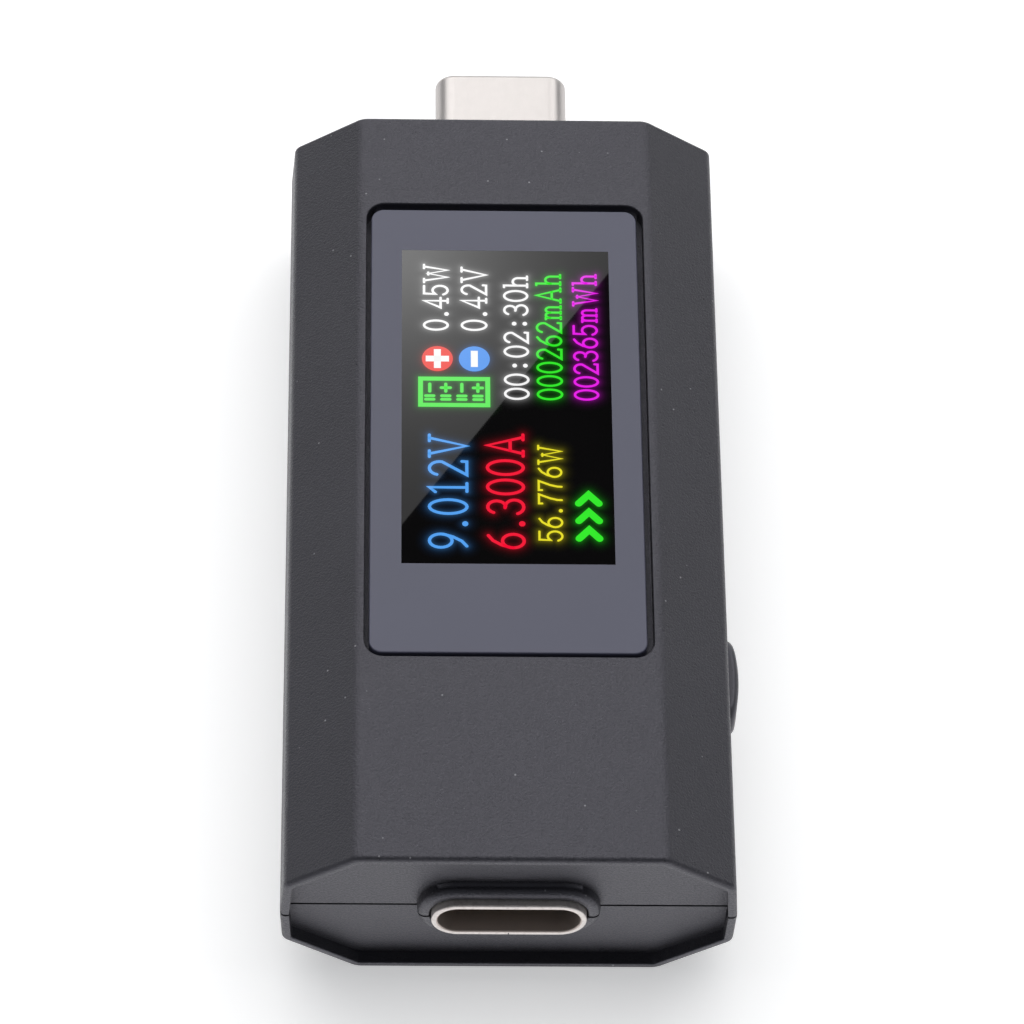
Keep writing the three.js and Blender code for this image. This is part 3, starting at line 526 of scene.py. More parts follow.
def flared(outline_at, direction, surface, bottom, lip, name):
    """A cutter whose mouth widens round a lip at the surface; outline_at(grow) gives its outline."""
    outwards = 1.0 if surface > bottom else -1.0
    rings = [direction(outline_at(0.0), bottom)]
    for k in range(EDGE_STEPS + 1):
        angle = math.radians(FLARE["turn"]) * k / EDGE_STEPS
        height = surface - outwards * lip * (1 - math.sin(angle))
        rings.append(direction(outline_at(lip * (1 - math.cos(angle))), height))
    rings.append(direction(outline_at(lip), surface + outwards * FLARE["past"]))
    return loft(name, rings)


def port_cutter(size, y_rim, outwards):
    width, height = size

    def outline(grow):
        return stadium(0, PORT_Z, width, height, PORT_GAP / 2 + SKIN + grow)

    depth = END_RECESS + END_WALL + PORT_CUT["past"]
    return flared(outline, along_y, y_rim, y_rim - outwards * depth, PORT_CUT["lip"], "port")


def window_cutter():
    w = WINDOW

    def outline(grow):
        more = grow + SKIN
        return rounded_box(0, w["centre_y"], w["x"] + 2 * more, w["y"] + 2 * more, w["corner"] + more)

    return flared(outline, along_z, HEIGHT, HEIGHT - w["depth"] - SKIN, WINDOW_LIP, "window")


def button_cutter():
    b, cut = BUTTON, BUTTON_CUT

    def outline(grow):
        return stadium(b["y"], b["z"], b["length"], b["height"], BUTTON_GAP + SKIN + grow)

    surface, bottom = PARTING_HALF - cut["sunk"], PARTING_HALF - cut["depth"]
    return flared(outline, along_x, surface, bottom, cut["lip"], "slot")


def cad_copy(node):
    """A welded copy of a CAD node's mesh, as a new object."""
    bm = bmesh.new()
    bm.from_mesh(frame["nodes"][node].data)
    bmesh.ops.remove_doubles(bm, verts=bm.verts, dist=1e-7)
    return object_from(node + "_copy", bm)


def seal_rims(half):
    """Closes the gap of the parting line inside the end rims, where light would shine through it."""
    low, high = PARTING_Z - RIM_SEAL["below"], PARTING_Z + RIM_SEAL["above"]
    for side in (-1, 1):
        across = sorted(side * x for x in RIM_SEAL["x"])
        for end, inwards in ((NEAR_Y, 1), (FAR_Y, -1)):
            along = sorted(end + inwards * y for y in RIM_SEAL["y"])
            combine(half, block("seal", *across, *along, low, high), "UNION")


def case_half(node, side, material):
    """One half of the case: the CAD's half, with its inside as it is and its outside finely rounded."""
    edge = PARTING_Z + side * SEAM["width"] / 2
    outer = combine(case_form(SKIN), slab(*sorted((edge, edge + side * PAST_SIDES))), "INTERSECT")
    neck = combine(case_form(SEAM["depth"]), slab(PARTING_Z - NECK_HALF, PARTING_Z + NECK_HALF), "INTERSECT")
    form = combine(outer, neck, "UNION")
    half = combine(cad_copy(node), form, "INTERSECT")
    combine(half, port_cutter(SOCKET, NEAR_Y, -1.0), "DIFFERENCE")
    combine(half, port_cutter(PLUG, FAR_Y, 1.0), "DIFFERENCE")
    combine(half, button_cutter(), "DIFFERENCE")
    if side > 0:
        combine(half, window_cutter(), "DIFFERENCE")
    else:
        seal_rims(half)
    smooth(half)
    return finished(half, node + "_fine", "housing", "case", material, node)


# ---------------- window and screen

LENS_TOP = HEIGHT - LENS_SUNK
LENS_EDGE = 0.1
LENS_FOOT = 0.05
OPENING_Z = (9.0, 14.0)
SCREEN_PITCH = 0.1
SCREEN_SUNK = 0.004
GLOW = "glow"
GLOW_REACH = 0.15
GLOW_SHARE = 0.14
GLOW_END = 5  # the glow stops at this many reaches


def lens_outline(grow):
    width = WINDOW["x"] - 2 * (LENS_GROOVE - grow)
    length = WINDOW["y"] - 2 * (LENS_GROOVE - grow)
    return rounded_box(*LENS_AT, width, length, WINDOW["corner"] - LENS_GROOVE + grow)


def window_frame(material):
    """The window outside the screen: a plate with a rounded edge and a square opening."""
    edge = quarter(LENS_EDGE, 5)
    rings = [along_z(lens_outline(-LENS_FOOT), LENS_TOP - LENS_THICK)]
    rings += [along_z(lens_outline(0.0), LENS_TOP - LENS_THICK + LENS_FOOT)]
    rings += [along_z(lens_outline(-across), LENS_TOP - along) for along, across in edge]
    plate = loft("window_frame", rings)
    x, y, mid = SCREEN["x"] / 2, SCREEN["y"] / 2, SCREEN["centre_y"]
    combine(plate, block("opening", -x, x, mid - y, mid + y, *OPENING_Z), "DIFFERENCE")
    smooth(plate)
    return finished(plate, "window_frame", "housing", "window", material, "window_lens")


def screen_plate(material, strokes):
    """The clear part of the window as a thin plate, finely divided on top to carry the glow."""
    across = round(SCREEN["x"] / SCREEN_PITCH)
    along = round(SCREEN["y"] / SCREEN_PITCH)
    x = np.linspace(-SCREEN["x"] / 2, SCREEN["x"] / 2, across + 1)
    y = np.linspace(-SCREEN["y"] / 2, SCREEN["y"] / 2, along + 1) + SCREEN["centre_y"]
    bm = bmesh.new()
    top = [[bm.verts.new((u * MM, v * MM, (LENS_TOP - SCREEN_SUNK) * MM)) for u in x] for v in y]
    for low, high in zip(top, top[1:]):
        for i in range(across):
            bm.faces.new((low[i], low[i + 1], high[i + 1], high[i]))
    rim = top[0] + [row[-1] for row in top[1:]] + top[-1][-2::-1] + [row[0] for row in top[-2:0:-1]]
    base = [bm.verts.new((v.co.x, v.co.y, (LENS_TOP - LENS_THICK) * MM)) for v in rim]
    join_rings(bm, base, rim)
    bm.faces.new(base[::-1])
    plate = object_from("screen", bm)
    paint_glow(plate, strokes)
    return finished(plate, "window_screen", "housing", "window", material)


def paint_glow(plate, strokes):
    """Adds to each point of the plate the light that the strokes near it spill, as a colour attribute."""
    count = len(plate.data.vertices)
    spots = np.zeros(count * 3, np.float32)
    plate.data.vertices.foreach_get("co", spots)
    spots = spots.reshape(-1, 3)[:, :2] / MM
    light = np.zeros((count, 4), np.float32)
    light[:, 3] = 1.0
    for colour, lines, thick in strokes:
        nearest = np.full(count, SCREEN["y"])
        for line in lines:
            for a, b in zip(line[:-1], line[1:]):
                a, step = np.array(a), np.array(b) - np.array(a)
                share = np.clip(((spots - a) @ step) / max(step @ step, 1e-9), 0, 1)
                gap = np.linalg.norm(spots - a - share[:, None] * step, axis=1)
                nearest = np.minimum(nearest, gap - thick / 2)
        spill = GLOW_SHARE * np.exp(-np.maximum(nearest, 0) / GLOW_REACH)
        spill[nearest > GLOW_END * GLOW_REACH] = 0
        light[:, :3] += spill[:, None] * np.array(colour)
    attribute = plate.data.color_attributes.new(GLOW, "FLOAT_COLOR", "POINT")
    attribute.data.foreach_set("color", light.ravel())


# ---------------- readout

# Glyphs are strokes in a cell 1 wide and 1 high, x along the line of text and y up.
DOT_RISE = 0.002
MITRE_LEAST = 0.45  # keeps the mitres of sharp turns short


def bow(cx, cy, rx, ry, start, end, steps=12):
    """An arc of an ellipse, from one angle to another, in degrees."""
    turn = [math.radians(start + (end - start) * k / steps) for k in range(steps + 1)]
    return [(cx + rx * math.cos(a), cy + ry * math.sin(a)) for a in turn]


def serifs(half, *spots):
    return [[(x - half, y), (x + half, y)] for x, y in spots]


def dot(x, y):
    return [(x, y), (x, y + DOT_RISE)]


def is_dot(line):
    return len(line) == 2 and math.dist(*line) < 5 * DOT_RISE


GLYPHS = {
    "0": [bow(0.5, 0.5, 0.42, 0.5, 0, 360, 28)],
    "1": [[(0.22, 0.84), (0.5, 1.0), (0.5, 0.0)], *serifs(0.25, (0.5, 0.0))],
    "2": [bow(0.5, 0.73, 0.4, 0.27, 165, -15, 12) + [(0.1, 0.0), (0.9, 0.0), (0.92, 0.13)]],
    "3": [
        bow(0.47, 0.75, 0.36, 0.25, 160, -80, 12) + [(0.42, 0.52)],
        [(0.42, 0.52)] + bow(0.47, 0.26, 0.42, 0.26, 85, -160, 14),
    ],
    "4": [[(0.68, 0.0), (0.68, 1.0), (0.06, 0.3), (0.96, 0.3)], *serifs(0.18, (0.68, 0.0))],
    "5": [[(0.88, 1.0), (0.18, 1.0), (0.14, 0.52)] + bow(0.48, 0.32, 0.42, 0.32, 135, -155, 16)],
    "6": [
        bow(0.5, 0.3, 0.4, 0.3, 180, -180, 24),
        [(0.82, 0.99), (0.52, 0.86), (0.26, 0.62), (0.12, 0.38), (0.1, 0.3)],
    ],
    "7": [[(0.1, 0.86), (0.1, 1.0), (0.9, 1.0), (0.55, 0.5), (0.42, 0.2), (0.4, 0.0)]],
    "8": [bow(0.5, 0.76, 0.33, 0.24, 0, 360, 22), bow(0.5, 0.26, 0.4, 0.26, 0, 360, 24)],
    "9": [
        bow(0.5, 0.7, 0.4, 0.3, 0, 360, 24),
        [(0.18, 0.01), (0.48, 0.14), (0.74, 0.38), (0.88, 0.62), (0.9, 0.7)],
    ],
    ".": [dot(0.5, 0.05)],
    ":": [dot(0.5, 0.12), dot(0.5, 0.58)],
    "V": [[(0.14, 1.0), (0.5, 0.0), (0.86, 1.0)], *serifs(0.14, (0.14, 1.0), (0.86, 1.0))],
    "A": [
        [(0.12, 0.0), (0.5, 1.0), (0.88, 0.0)],
        [(0.27, 0.36), (0.73, 0.36)],
        *serifs(0.12, (0.12, 0.0), (0.88, 0.0)),
    ],
    "W": [
        [(0.1, 1.0), (0.3, 0.0), (0.5, 0.82), (0.7, 0.0), (0.9, 1.0)],
        *serifs(0.1, (0.1, 1.0), (0.9, 1.0)),
        *serifs(0.06, (0.5, 0.82)),
    ],
    "m": [
        [(0.04, 0.62), (0.14, 0.62), (0.14, 0.0)],
        bow(0.32, 0.44, 0.18, 0.18, 180, 0, 8) + [(0.5, 0.0)],
        bow(0.68, 0.44, 0.18, 0.18, 180, 0, 8) + [(0.86, 0.0)],
        *serifs(0.09, (0.14, 0.0)),
        *serifs(0.08, (0.5, 0.0)),
        *serifs(0.09, (0.86, 0.0)),
    ],
    "h": [
        [(0.06, 1.0), (0.2, 1.0), (0.2, 0.0)],
        bow(0.5, 0.4, 0.3, 0.22, 180, 0, 10) + [(0.8, 0.0)],
        *serifs(0.14, (0.2, 0.0), (0.8, 0.0)),
    ],
}
CELL = {".": 0.76, ":": 1.0, "V": 1.34, "A": 1.3, "W": 1.62, "m": 1.3, "h": 1.05}
GLYPH_SHARE = 0.86  # how much of its cell a glyph fills


def text_lines(text, left, right, start, end):
    """Strokes of a line of text that reads towards +Y, from start to end, its letters' tops at x = left."""
    cell = (end - start) / sum(CELL.get(c, 1.0) for c in text)
    lines, y = [], start
    for c in text:
        width = cell * CELL.get(c, 1.0)
        lines += [
            [(right + v * (left - right), y + width * (0.5 + GLYPH_SHARE * (u - 0.5))) for u, v in stroke]
            for stroke in GLYPHS[c]
        ]
        y += width
    return lines


def ribbon(bm, line, thick, low, high, cap_steps=6):
    """A flat stroke along a line, with round ends, as a closed solid from low to high."""
    points = [np.array(p, float) for p in line]
    ends_meet = np.linalg.norm(points[0] - points[-1]) < 1e-6 and len(points) > 3
    if ends_meet:
        points = points[:-1]
    count = len(points)
    left, right = [], []
    for i, p in enumerate(points):
        before = points[i - 1] if i or ends_meet else None
        after = points[(i + 1) % count] if i < count - 1 or ends_meet else None
        ways = []
        if before is not None:
            ways.append((p - before) / np.linalg.norm(p - before))
        if after is not None:
            ways.append((after - p) / np.linalg.norm(after - p))
        way = sum(ways)
        way = way / np.linalg.norm(way)
        side = np.array([-way[1], way[0]])
        reach = thick / 2 / max(MITRE_LEAST, float(side @ np.array([-ways[0][1], ways[0][0]])))
        left.append(p + side * reach)
        right.append(p - side * reach)
    if ends_meet:
        close_band(bm, left, right, low, high)
        return
    first = cap(points[0], left[0], cap_steps)
    last = cap(points[-1], right[-1], cap_steps)
    rims = []
    for z in (low, high):
        lefts, rights, start, end = ([place(bm, p, z) for p in run] for run in (left, right, first, last))
        for i in range(count - 1):
            bm.faces.new((lefts[i], lefts[i + 1], rights[i + 1], rights[i]))
        bm.faces.new([lefts[0], *start, rights[0]])
        bm.faces.new([rights[-1], *end, lefts[-1]])
        rims.append(rights + end + lefts[::-1] + start)
    join_rings(bm, *rims)


def cap(centre, start, steps):
    """The points of a half circle about centre, anticlockwise from start, without its two ends."""
    x, y = start - centre
    turn = [math.pi * k / steps for k in range(1, steps)]
    return [
        centre + np.array([x * math.cos(a) - y * math.sin(a), x * math.sin(a) + y * math.cos(a)])
        for a in turn
    ]


def place(bm, point, z):
    return bm.verts.new((point[0] * MM, point[1] * MM, z * MM))


def close_outline(bm, outline, low, high):
    """A prism from low to high over an anticlockwise outline."""
    base = [place(bm, p, low) for p in outline]
    top = [place(bm, p, high) for p in outline]
    join_rings(bm, base, top)
    bm.faces.new(top)
    bm.faces.new(base[::-1])


def close_band(bm, left, right, low, high):
    """A closed band between two loops, from low to high."""
    corners = ((right, low), (right, high), (left, high), (left, low))
    loops = [[place(bm, p, z) for p in side] for side, z in corners]
    for a, b in zip(loops, loops[1:] + loops[:1]):
        join_rings(bm, a, b)


READOUT_LOW = LENS_TOP - 0.02
READOUT_HIGH = LENS_TOP + 0.004
SIGN_LIFT = 0.003  # how far the badges' signs stand above the badges
POINT_SHARE = 0.95  # the radius of a decimal point, in strokes


def stroke_piece(name, lines, thick, material):
    bm = bmesh.new()
    for line in lines:
        ribbon(bm, line, thick, READOUT_LOW, READOUT_HIGH)
    return finished(object_from(name, bm), name, "housing", "window", material)


def solid_piece(name, outlines, material, lift=0.0):
    bm = bmesh.new()
    for outline in outlines:
        close_outline(bm, outline, READOUT_LOW, READOUT_HIGH + lift)
    return finished(object_from(name, bm), name, "housing", "window", material)


BLUE = (0.09, 0.37, 0.92)
RED = (0.95, 0.005, 0.035)
YELLOW = (0.86, 0.78, 0.02)
GREEN = (0.03, 0.85, 0.02)
PALE_GREEN = (0.09, 0.84, 0.08)
WHITE = (0.95, 0.95, 0.95)
MAGENTA = (0.85, 0.01, 0.85)
BADGE_RED = (0.85, 0.05, 0.035)
BADGE_BLUE = (0.07, 0.3, 0.85)

# (name, text, colour, stroke, x of the letters' tops, x of the baseline, y of the start, y of the end)
TEXT_ROWS = [
    ("readout_volts", "9.012V", BLUE, 0.19, -4.63, -2.41, -5.6, 2.84),
    ("readout_amps", "6.300A", RED, 0.2, -1.19, 0.94, -5.6, 2.89),
    ("readout_watts", "56.776W", YELLOW, 0.13, 1.84, 3.19, -5.0, 2.09),
    ("readout_line_watts", "0.45W", WHITE, 0.15, -4.94, -3.51, 10.36, 15.5),
    ("readout_line_volts", "0.42V", WHITE, 0.15, -2.66, -1.18, 10.36, 15.3),
    ("readout_time", "00:02:30h", WHITE, 0.15, -0.09, 1.31, 5.25, 14.7),
    ("readout_charge", "000262mAh", GREEN, 0.15, 1.87, 3.32, 5.25, 14.83),
    ("readout_energy", "002365mWh", MAGENTA, 0.15, 4.09, 5.48, 5.25, 14.85),
]
CHEVRONS = {"x": 4.78, "half": 0.6, "rise": 0.64, "tips": (-1.54, -2.79, -4.05), "stroke": 0.44}
BOX = {"x0": -5.15, "x1": -1.13, "y0": 4.91, "y1": 6.84, "stroke": 0.29}
BOX_MARKS = {"xs": (-4.6, -3.64, -2.68, -1.72), "y": 6.18, "half": 0.27, "stroke": 0.2}
BOX_BLOCK = {"y": 5.45, "half": 0.24, "rise": 0.13}
BADGES = {"y": 8.33, "radius": 0.93, "plus_x": -4.14, "minus_x": -1.92, "arm": 0.7, "bar": 0.6, "thick": 0.42}


def chevrons():
    c = CHEVRONS
    return [
        [(c["x"] - c["half"], tip - c["rise"]), (c["x"], tip), (c["x"] + c["half"], tip - c["rise"])]
        for tip in c["tips"]
    ]


def box_icon():
    """A frame round four marks, minus and plus in turn, each over a small block."""
    b, m, block_mark = BOX, BOX_MARKS, BOX_BLOCK
    corners = [(b["x0"], b["y0"]), (b["x1"], b["y0"]), (b["x1"], b["y1"]), (b["x0"], b["y1"])]
    frame_lines = [[*corners, corners[0]]]
    marks = []
    for i, x in enumerate(m["xs"]):
        marks.append([(x, m["y"] - m["half"]), (x, m["y"] + m["half"])])
        if i % 2:
            marks.append([(x - m["half"], m["y"]), (x + m["half"], m["y"])])
        for side in (-1, 1):
            y = block_mark["y"] + side * block_mark["rise"]
            marks.append([(x - block_mark["half"], y), (x + block_mark["half"], y)])
    return frame_lines, marks


def disc(x, y, radius, steps=48):
    turn = [2 * math.pi * k / steps for k in range(steps)]
    return [(x + radius * math.cos(a), y + radius * math.sin(a)) for a in turn]


def bar(x, y, half_x, half_y):
    corners = ((-1, -1), (1, -1), (1, 1), (-1, 1))
    return [(x + a * half_x, y + b * half_y) for a, b in corners]


def make_readout():
    """The lit strokes of the readout. Returns (colour, lines, thickness) for the glow round each."""
    glowing = []
    for name, text, colour, thick, left, right, start, end in TEXT_ROWS:
        lines = text_lines(text, left, right, start, end)
        material = lit_ink("lit_" + name, colour)
        stroke_piece(name, [line for line in lines if not is_dot(line)], thick, material)
        dots = [disc(*line[0], thick * POINT_SHARE, 24) for line in lines if is_dot(line)]
        if dots:
            solid_piece(name + "_points", dots, material)
        glowing.append((colour, lines, thick))
    stroke_piece("readout_arrows", chevrons(), CHEVRONS["stroke"], lit_ink("lit_arrows", GREEN))
    glowing.append((GREEN, chevrons(), CHEVRONS["stroke"]))
    frame_lines, marks = box_icon()
    box_ink = lit_ink("lit_box", PALE_GREEN)
    stroke_piece("readout_box", frame_lines, BOX["stroke"], box_ink)
    stroke_piece("readout_box_marks", marks, BOX_MARKS["stroke"], box_ink)
    glowing.append((PALE_GREEN, frame_lines, BOX["stroke"]))
    glowing.append((PALE_GREEN, marks, BOX_MARKS["stroke"]))
    g = BADGES
    white = lit_ink("lit_white", WHITE)
    for name, x, colour in (("plus", g["plus_x"], BADGE_RED), ("minus", g["minus_x"], BADGE_BLUE)):
        solid_piece(f"readout_{name}_badge", [disc(x, g["y"], g["radius"])], lit_ink(f"lit_{name}", colour))
        glowing.append((colour, [[(x, g["y"] - 0.01), (x, g["y"] + 0.01)]], 2 * g["radius"]))
    half = g["thick"] / 2
    plus = [bar(g["plus_x"], g["y"], *arms) for arms in ((g["arm"], half), (half, g["arm"]))]
    solid_piece("readout_plus_sign", plus, white, SIGN_LIFT)
    solid_piece("readout_minus_sign", [bar(g["minus_x"], g["y"], half, g["bar"])], white, SIGN_LIFT)
    return glowing


# ---------------- connectors and button

SOCKET_WALL = 0.37
SOCKET_LIP = 0.1
BORE_MARGIN = 0.1  # how far the bore's darker tone (partly oxide, partly painted shade) goes into the wall
SOCKET_LENGTH = 7.35
SOCKET_TABS = (-23.02, -20.92)
SOCKET_SEAM = {"half": 0.035, "past": 1.0, "deep": 0.35, "below": 0.5, "share": 0.65}
TAB = {"length": 1.1, "x": 5.15, "thick": 0.26, "root": 0.2, "leg": 1.0}
PLUG_WALL = 0.25
PLUG_NOSE = {"round": 0.42, "turn": 78, "bevel": 0.55}
PLUG_LIP = ((0.0, 0.3696), (0.03, 0.419), (0.1, 0.429))  # from the tip, and in from the sides
PLUG_EAR = {"root": 0.22, "reach": 1.22, "from": 0.1, "to": 1.2}
BUTTON_STEP = 0.15
BUTTON_RINGS = (0.25, 0.5, 0.75, 0.999)  # shares of the way from its crown to its middle line
BUTTON_FLANGE = {"length": 7.6, "height": 3.9, "corner": 0.6, "thick": 0.6}
DOME = {"radius": 0.5, "rise": 0.26, "thick": 0.05, "keep": 0.25, "facets": 32}
DOME_RINGS = (1.0, 0.9, 0.75, 0.6, 0.45, 0.3, 0.15, 0.02)  # shares of its radius
FEET_Z = PORT_Z + BOARD_THICK / 2 + BOARD_CLEAR


def tube(name, size, profile):
    """A closed tube of stadium section; profile is a closed loop of (y, inwards) points."""
    width, height = size
    return loft(name, [along_y(stadium(0, PORT_Z, width, height, -d), y) for y, d in profile], closed=True)


def socket_shell(material):
    """The socket's shell: a tube with rounded lips, a seam under its front and feet on the board."""
    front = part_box("receptacle_shell")[0].y / MM
    back = front + SOCKET_LENGTH
    lip = [(front + along, across) for along, across in quarter(SOCKET_LIP, 5)]
    inner_lip = [(front + along, SOCKET_WALL - across) for along, across in quarter(SOCKET_LIP, 5)[::-1]]
    profile = [(back, 0.0)] + lip + inner_lip + [(back, SOCKET_WALL)]
    shell = tube("socket_shell", SOCKET, profile)
    cut, bottom = SOCKET_SEAM, PORT_Z - SOCKET[1] / 2
    along = (front - cut["past"], front + cut["deep"])
    rise = (bottom - cut["below"], bottom + SOCKET_WALL * cut["share"])
    combine(shell, block("seam", -cut["half"], cut["half"], *along, *rise), "DIFFERENCE")
    for side in (-1, 1):
        for y in SOCKET_TABS:
            combine(shell, tab(side, y), "UNION")
    smooth(shell)
    return finished(shell, "socket_shell", "housing", "steel", material, "receptacle_shell")


def tab(side, y):
    """A foot of the socket's shell: out over the board, then down through it."""
    outer = TAB["x"] + TAB["thick"] / 2
    top = FEET_Z + TAB["thick"]
    reach = sorted((side * (SOCKET[0] / 2 - TAB["root"]), side * outer))
    down = sorted((side * (outer - TAB["thick"]), side * outer))
    ear = block("tab", *reach, y, y + TAB["length"], FEET_Z, top)
    return combine(ear, block("leg", *down, y, y + TAB["length"], PORT_Z - TAB["leg"], top), "UNION")


def plug_shell(material):
    """The plug's shell: a tube whose nose is rounded and turned in, with an ear on each side at the back."""
    low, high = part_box("plug_shell")
    back, tip = low.y / MM, high.y / MM
    outer, turn = PLUG_NOSE["round"], math.radians(PLUG_NOSE["turn"])
    nose = [
        (tip - outer * (1 - math.sin(a)), outer * (1 - math.cos(a)))
        for a in (turn * k / EDGE_STEPS for k in range(EDGE_STEPS + 1))
    ]
    inner_lip = [(tip - along, inwards) for along, inwards in PLUG_LIP]
    inner = [(tip - PLUG_NOSE["bevel"], PLUG_WALL), (back, PLUG_WALL)]
    shell = tube("plug_shell", PLUG, [(back, 0.0)] + nose + inner_lip + inner)
    ear, half = PLUG_EAR, PLUG[0] / 2
    for side in (-1, 1):
        reach = sorted((side * (half - ear["root"]), side * (half + ear["reach"])))
        along = (back + ear["from"], back + ear["to"])
        combine(shell, block("ear", *reach, *along, FEET_Z, FEET_Z + PLUG_WALL), "UNION")
    smooth(shell)
    return finished(shell, "plug_shell_fine", "housing", "nickel", material, "plug_shell")


def divided(outline, step):
    """The outline with points added so that none of its sides is longer than step."""
    points = []
    for (ax, ay), (bx, by) in zip(outline, outline[1:] + outline[:1]):
        count = max(1, math.ceil(math.hypot(bx - ax, by - ay) / step))
        points += [(ax + (bx - ax) * k / count, ay + (by - ay) * k / count) for k in range(count)]
    return points


def side_button(material):
    """A pill whose face bows outwards along its length, with a rounded rim and a flange behind it."""
    b, f = BUTTON, BUTTON_FLANGE
    low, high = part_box("side_button")
    inner, tip = low.x / MM, high.x / MM

    def ring(inwards, below_tip):
        outline = divided(stadium(b["y"], b["z"], b["length"], b["height"]), BUTTON_STEP)
        narrow, short = 1 - 2 * inwards / b["height"], 1 - 2 * inwards / b["length"]
        points = [(b["y"] + (u - b["y"]) * short, b["z"] + (v - b["z"]) * narrow) for u, v in outline]
        return [(tip - below_tip - (u - b["y"]) ** 2 / (2 * b["bow"]), u, v) for u, v in points]

    half = b["height"] / 2
    rings = [[(inner + f["thick"] / 2, u, v) for _, u, v in ring(0.0, 0.0)]]
    rings += [ring(across, along) for along, across in quarter(b["crown"], 10)]
    rings += [ring(b["crown"] + (half - b["crown"]) * share, 0.0) for share in BUTTON_RINGS]
    pill = loft("pill", rings)
    flange = rounded_box(b["y"], b["z"], f["length"], f["height"], f["corner"])
    plate = loft("flange", [along_x(flange, inner), along_x(flange, inner + f["thick"])])
    combine(pill, plate, "UNION")
    smooth(pill)
    return finished(pill, "side_button_fine", "button", "button", material, "side_button")


def switch_dome(material):
    """The snap dome under the stem: a thin shallow cup, shown at rest, as it sits before the press flattens
    it against the pocket's back.
    """
    low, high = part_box("switch_dome")
    middle = (low + high) / 2
    back, y, z = low.x / MM, middle.y / MM, middle.z / MM

    def ring(share, lift):
        x = back + DOME["rise"] * (1 - share * share) + lift
        radius = DOME["radius"] * share
        return [(x, *point) for point in disc(y, z, radius, DOME["facets"])]

    rings = [ring(share, 0.0) for share in DOME_RINGS[::-1]]
    rings += [ring(share, DOME["thick"]) for share in DOME_RINGS]
    dome = finished(loft("dome", rings), "switch_dome_fine", "housing", "steel", material, "switch_dome")
    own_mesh(dome)


# ---------------- camera, light and floor

CAMERA = {
    "distance": 331.49,
    "up": 55.32,
    "round": -2.783,
    "roll": 2.729,
    "target": (0.372, -0.098, 8.15),
    "lens": 194.84,
}
GLARE_EDGE = ((6.61, 15.4), (-6.25, -3.77))  # where the edge of the reflection crosses the screen
GLARE_CORNER = (-6.35, 16.5)
FLAG = {"height": 300.0, "length": 120.0, "width": 110.0, "thick": 1.5}
SOFTBOX = {"distance": 620.0, "width": 1150.0, "height": 950.0, "thick": 4.0, "strength": 2.0}
HOT_SPOT = {"strength": 12.6, "radius": 60.0, "power": 3.2}
BOUNCE = {"x": 170.0, "near": -27.0, "far": -330.0, "z": (0.1, 0.5), "strength": 1.5}
FLOOR = {"half": 2000.0, "z": (-12.0, -0.02), "glow": 0.4}
WORLD = {"colour": (0.92, 0.95, 1.0, 1.0), "strength": 0.25}
NO_SHINE = {"Base_Color": (0, 0, 0, 1.0), "Specular_IOR_Level": 0.0, "Roughness": 1.0}


def camera_axes():
    """The camera's right, up and back directions, and its place in millimetres."""
    up_angle, turn, roll = (math.radians(CAMERA[k]) for k in ("up", "round", "roll"))
    back = Vector((
        math.sin(turn) * math.cos(up_angle),
        -math.cos(turn) * math.cos(up_angle),
        math.sin(up_angle),
    ))
    right = Vector((math.cos(turn), math.sin(turn), 0.0))
    up = back.cross(right)
    tilted_right = right * math.cos(roll) + up * math.sin(roll)
    tilted_up = up * math.cos(roll) - right * math.sin(roll)
    return tilted_right, tilted_up, back, Vector(CAMERA["target"]) + back * CAMERA["distance"]


def make_camera():
    right, up, back, spot = camera_axes()
    data = bpy.data.cameras.new("camera")
    data.lens = CAMERA["lens"]
    data.clip_start = 0.01
    data.clip_end = 20.0
    obj = bpy.data.objects.new("camera", data)
    axes = Matrix((right, up, back)).transposed().to_4x4()
    obj.matrix_world = Matrix.Translation(spot * MM) @ axes
    bpy.context.scene.collection.objects.link(obj)
    bpy.context.scene.camera = obj


def mirrored_ray(point):
    """The camera's sight line after the window reflects it at a point: (start, direction)."""
    _, _, _, spot = camera_axes()
    start = Vector((*point, LENS_TOP))
    way = (start - spot).normalized()
    return start, Vector((way.x, way.y, -way.z))


def make_flag():
    """A black card above the window: its straight edge bounds the softbox's reflection in the screen."""
    ends = []
    for point in GLARE_EDGE:
        start, way = mirrored_ray(point)
        ends.append(start + way * ((FLAG["height"] - start.z) / way.z))
    edge = (ends[0] - ends[1]).normalized()
    middle = (ends[0] + ends[1]) / 2
    away = edge.cross(Vector((0, 0, 1)))
    half = edge * FLAG["length"] / 2
    far = away * FLAG["width"]
    ring = [middle - half, middle + half, middle + half + far, middle - half + far]
    thick = Vector((0, 0, FLAG["thick"]))
    card = loft("flag", [[tuple(p) for p in ring], [tuple(p + thick) for p in ring]])
    s = Shader("flag_felt").set(Roughness=1.0, Base_Color=(0.002, 0.002, 0.002, 1.0), Specular_IOR_Level=0.0)
    card.data.materials.append(s.material)
    card.visible_camera = False
    card.visible_shadow = False
    card.visible_diffuse = False


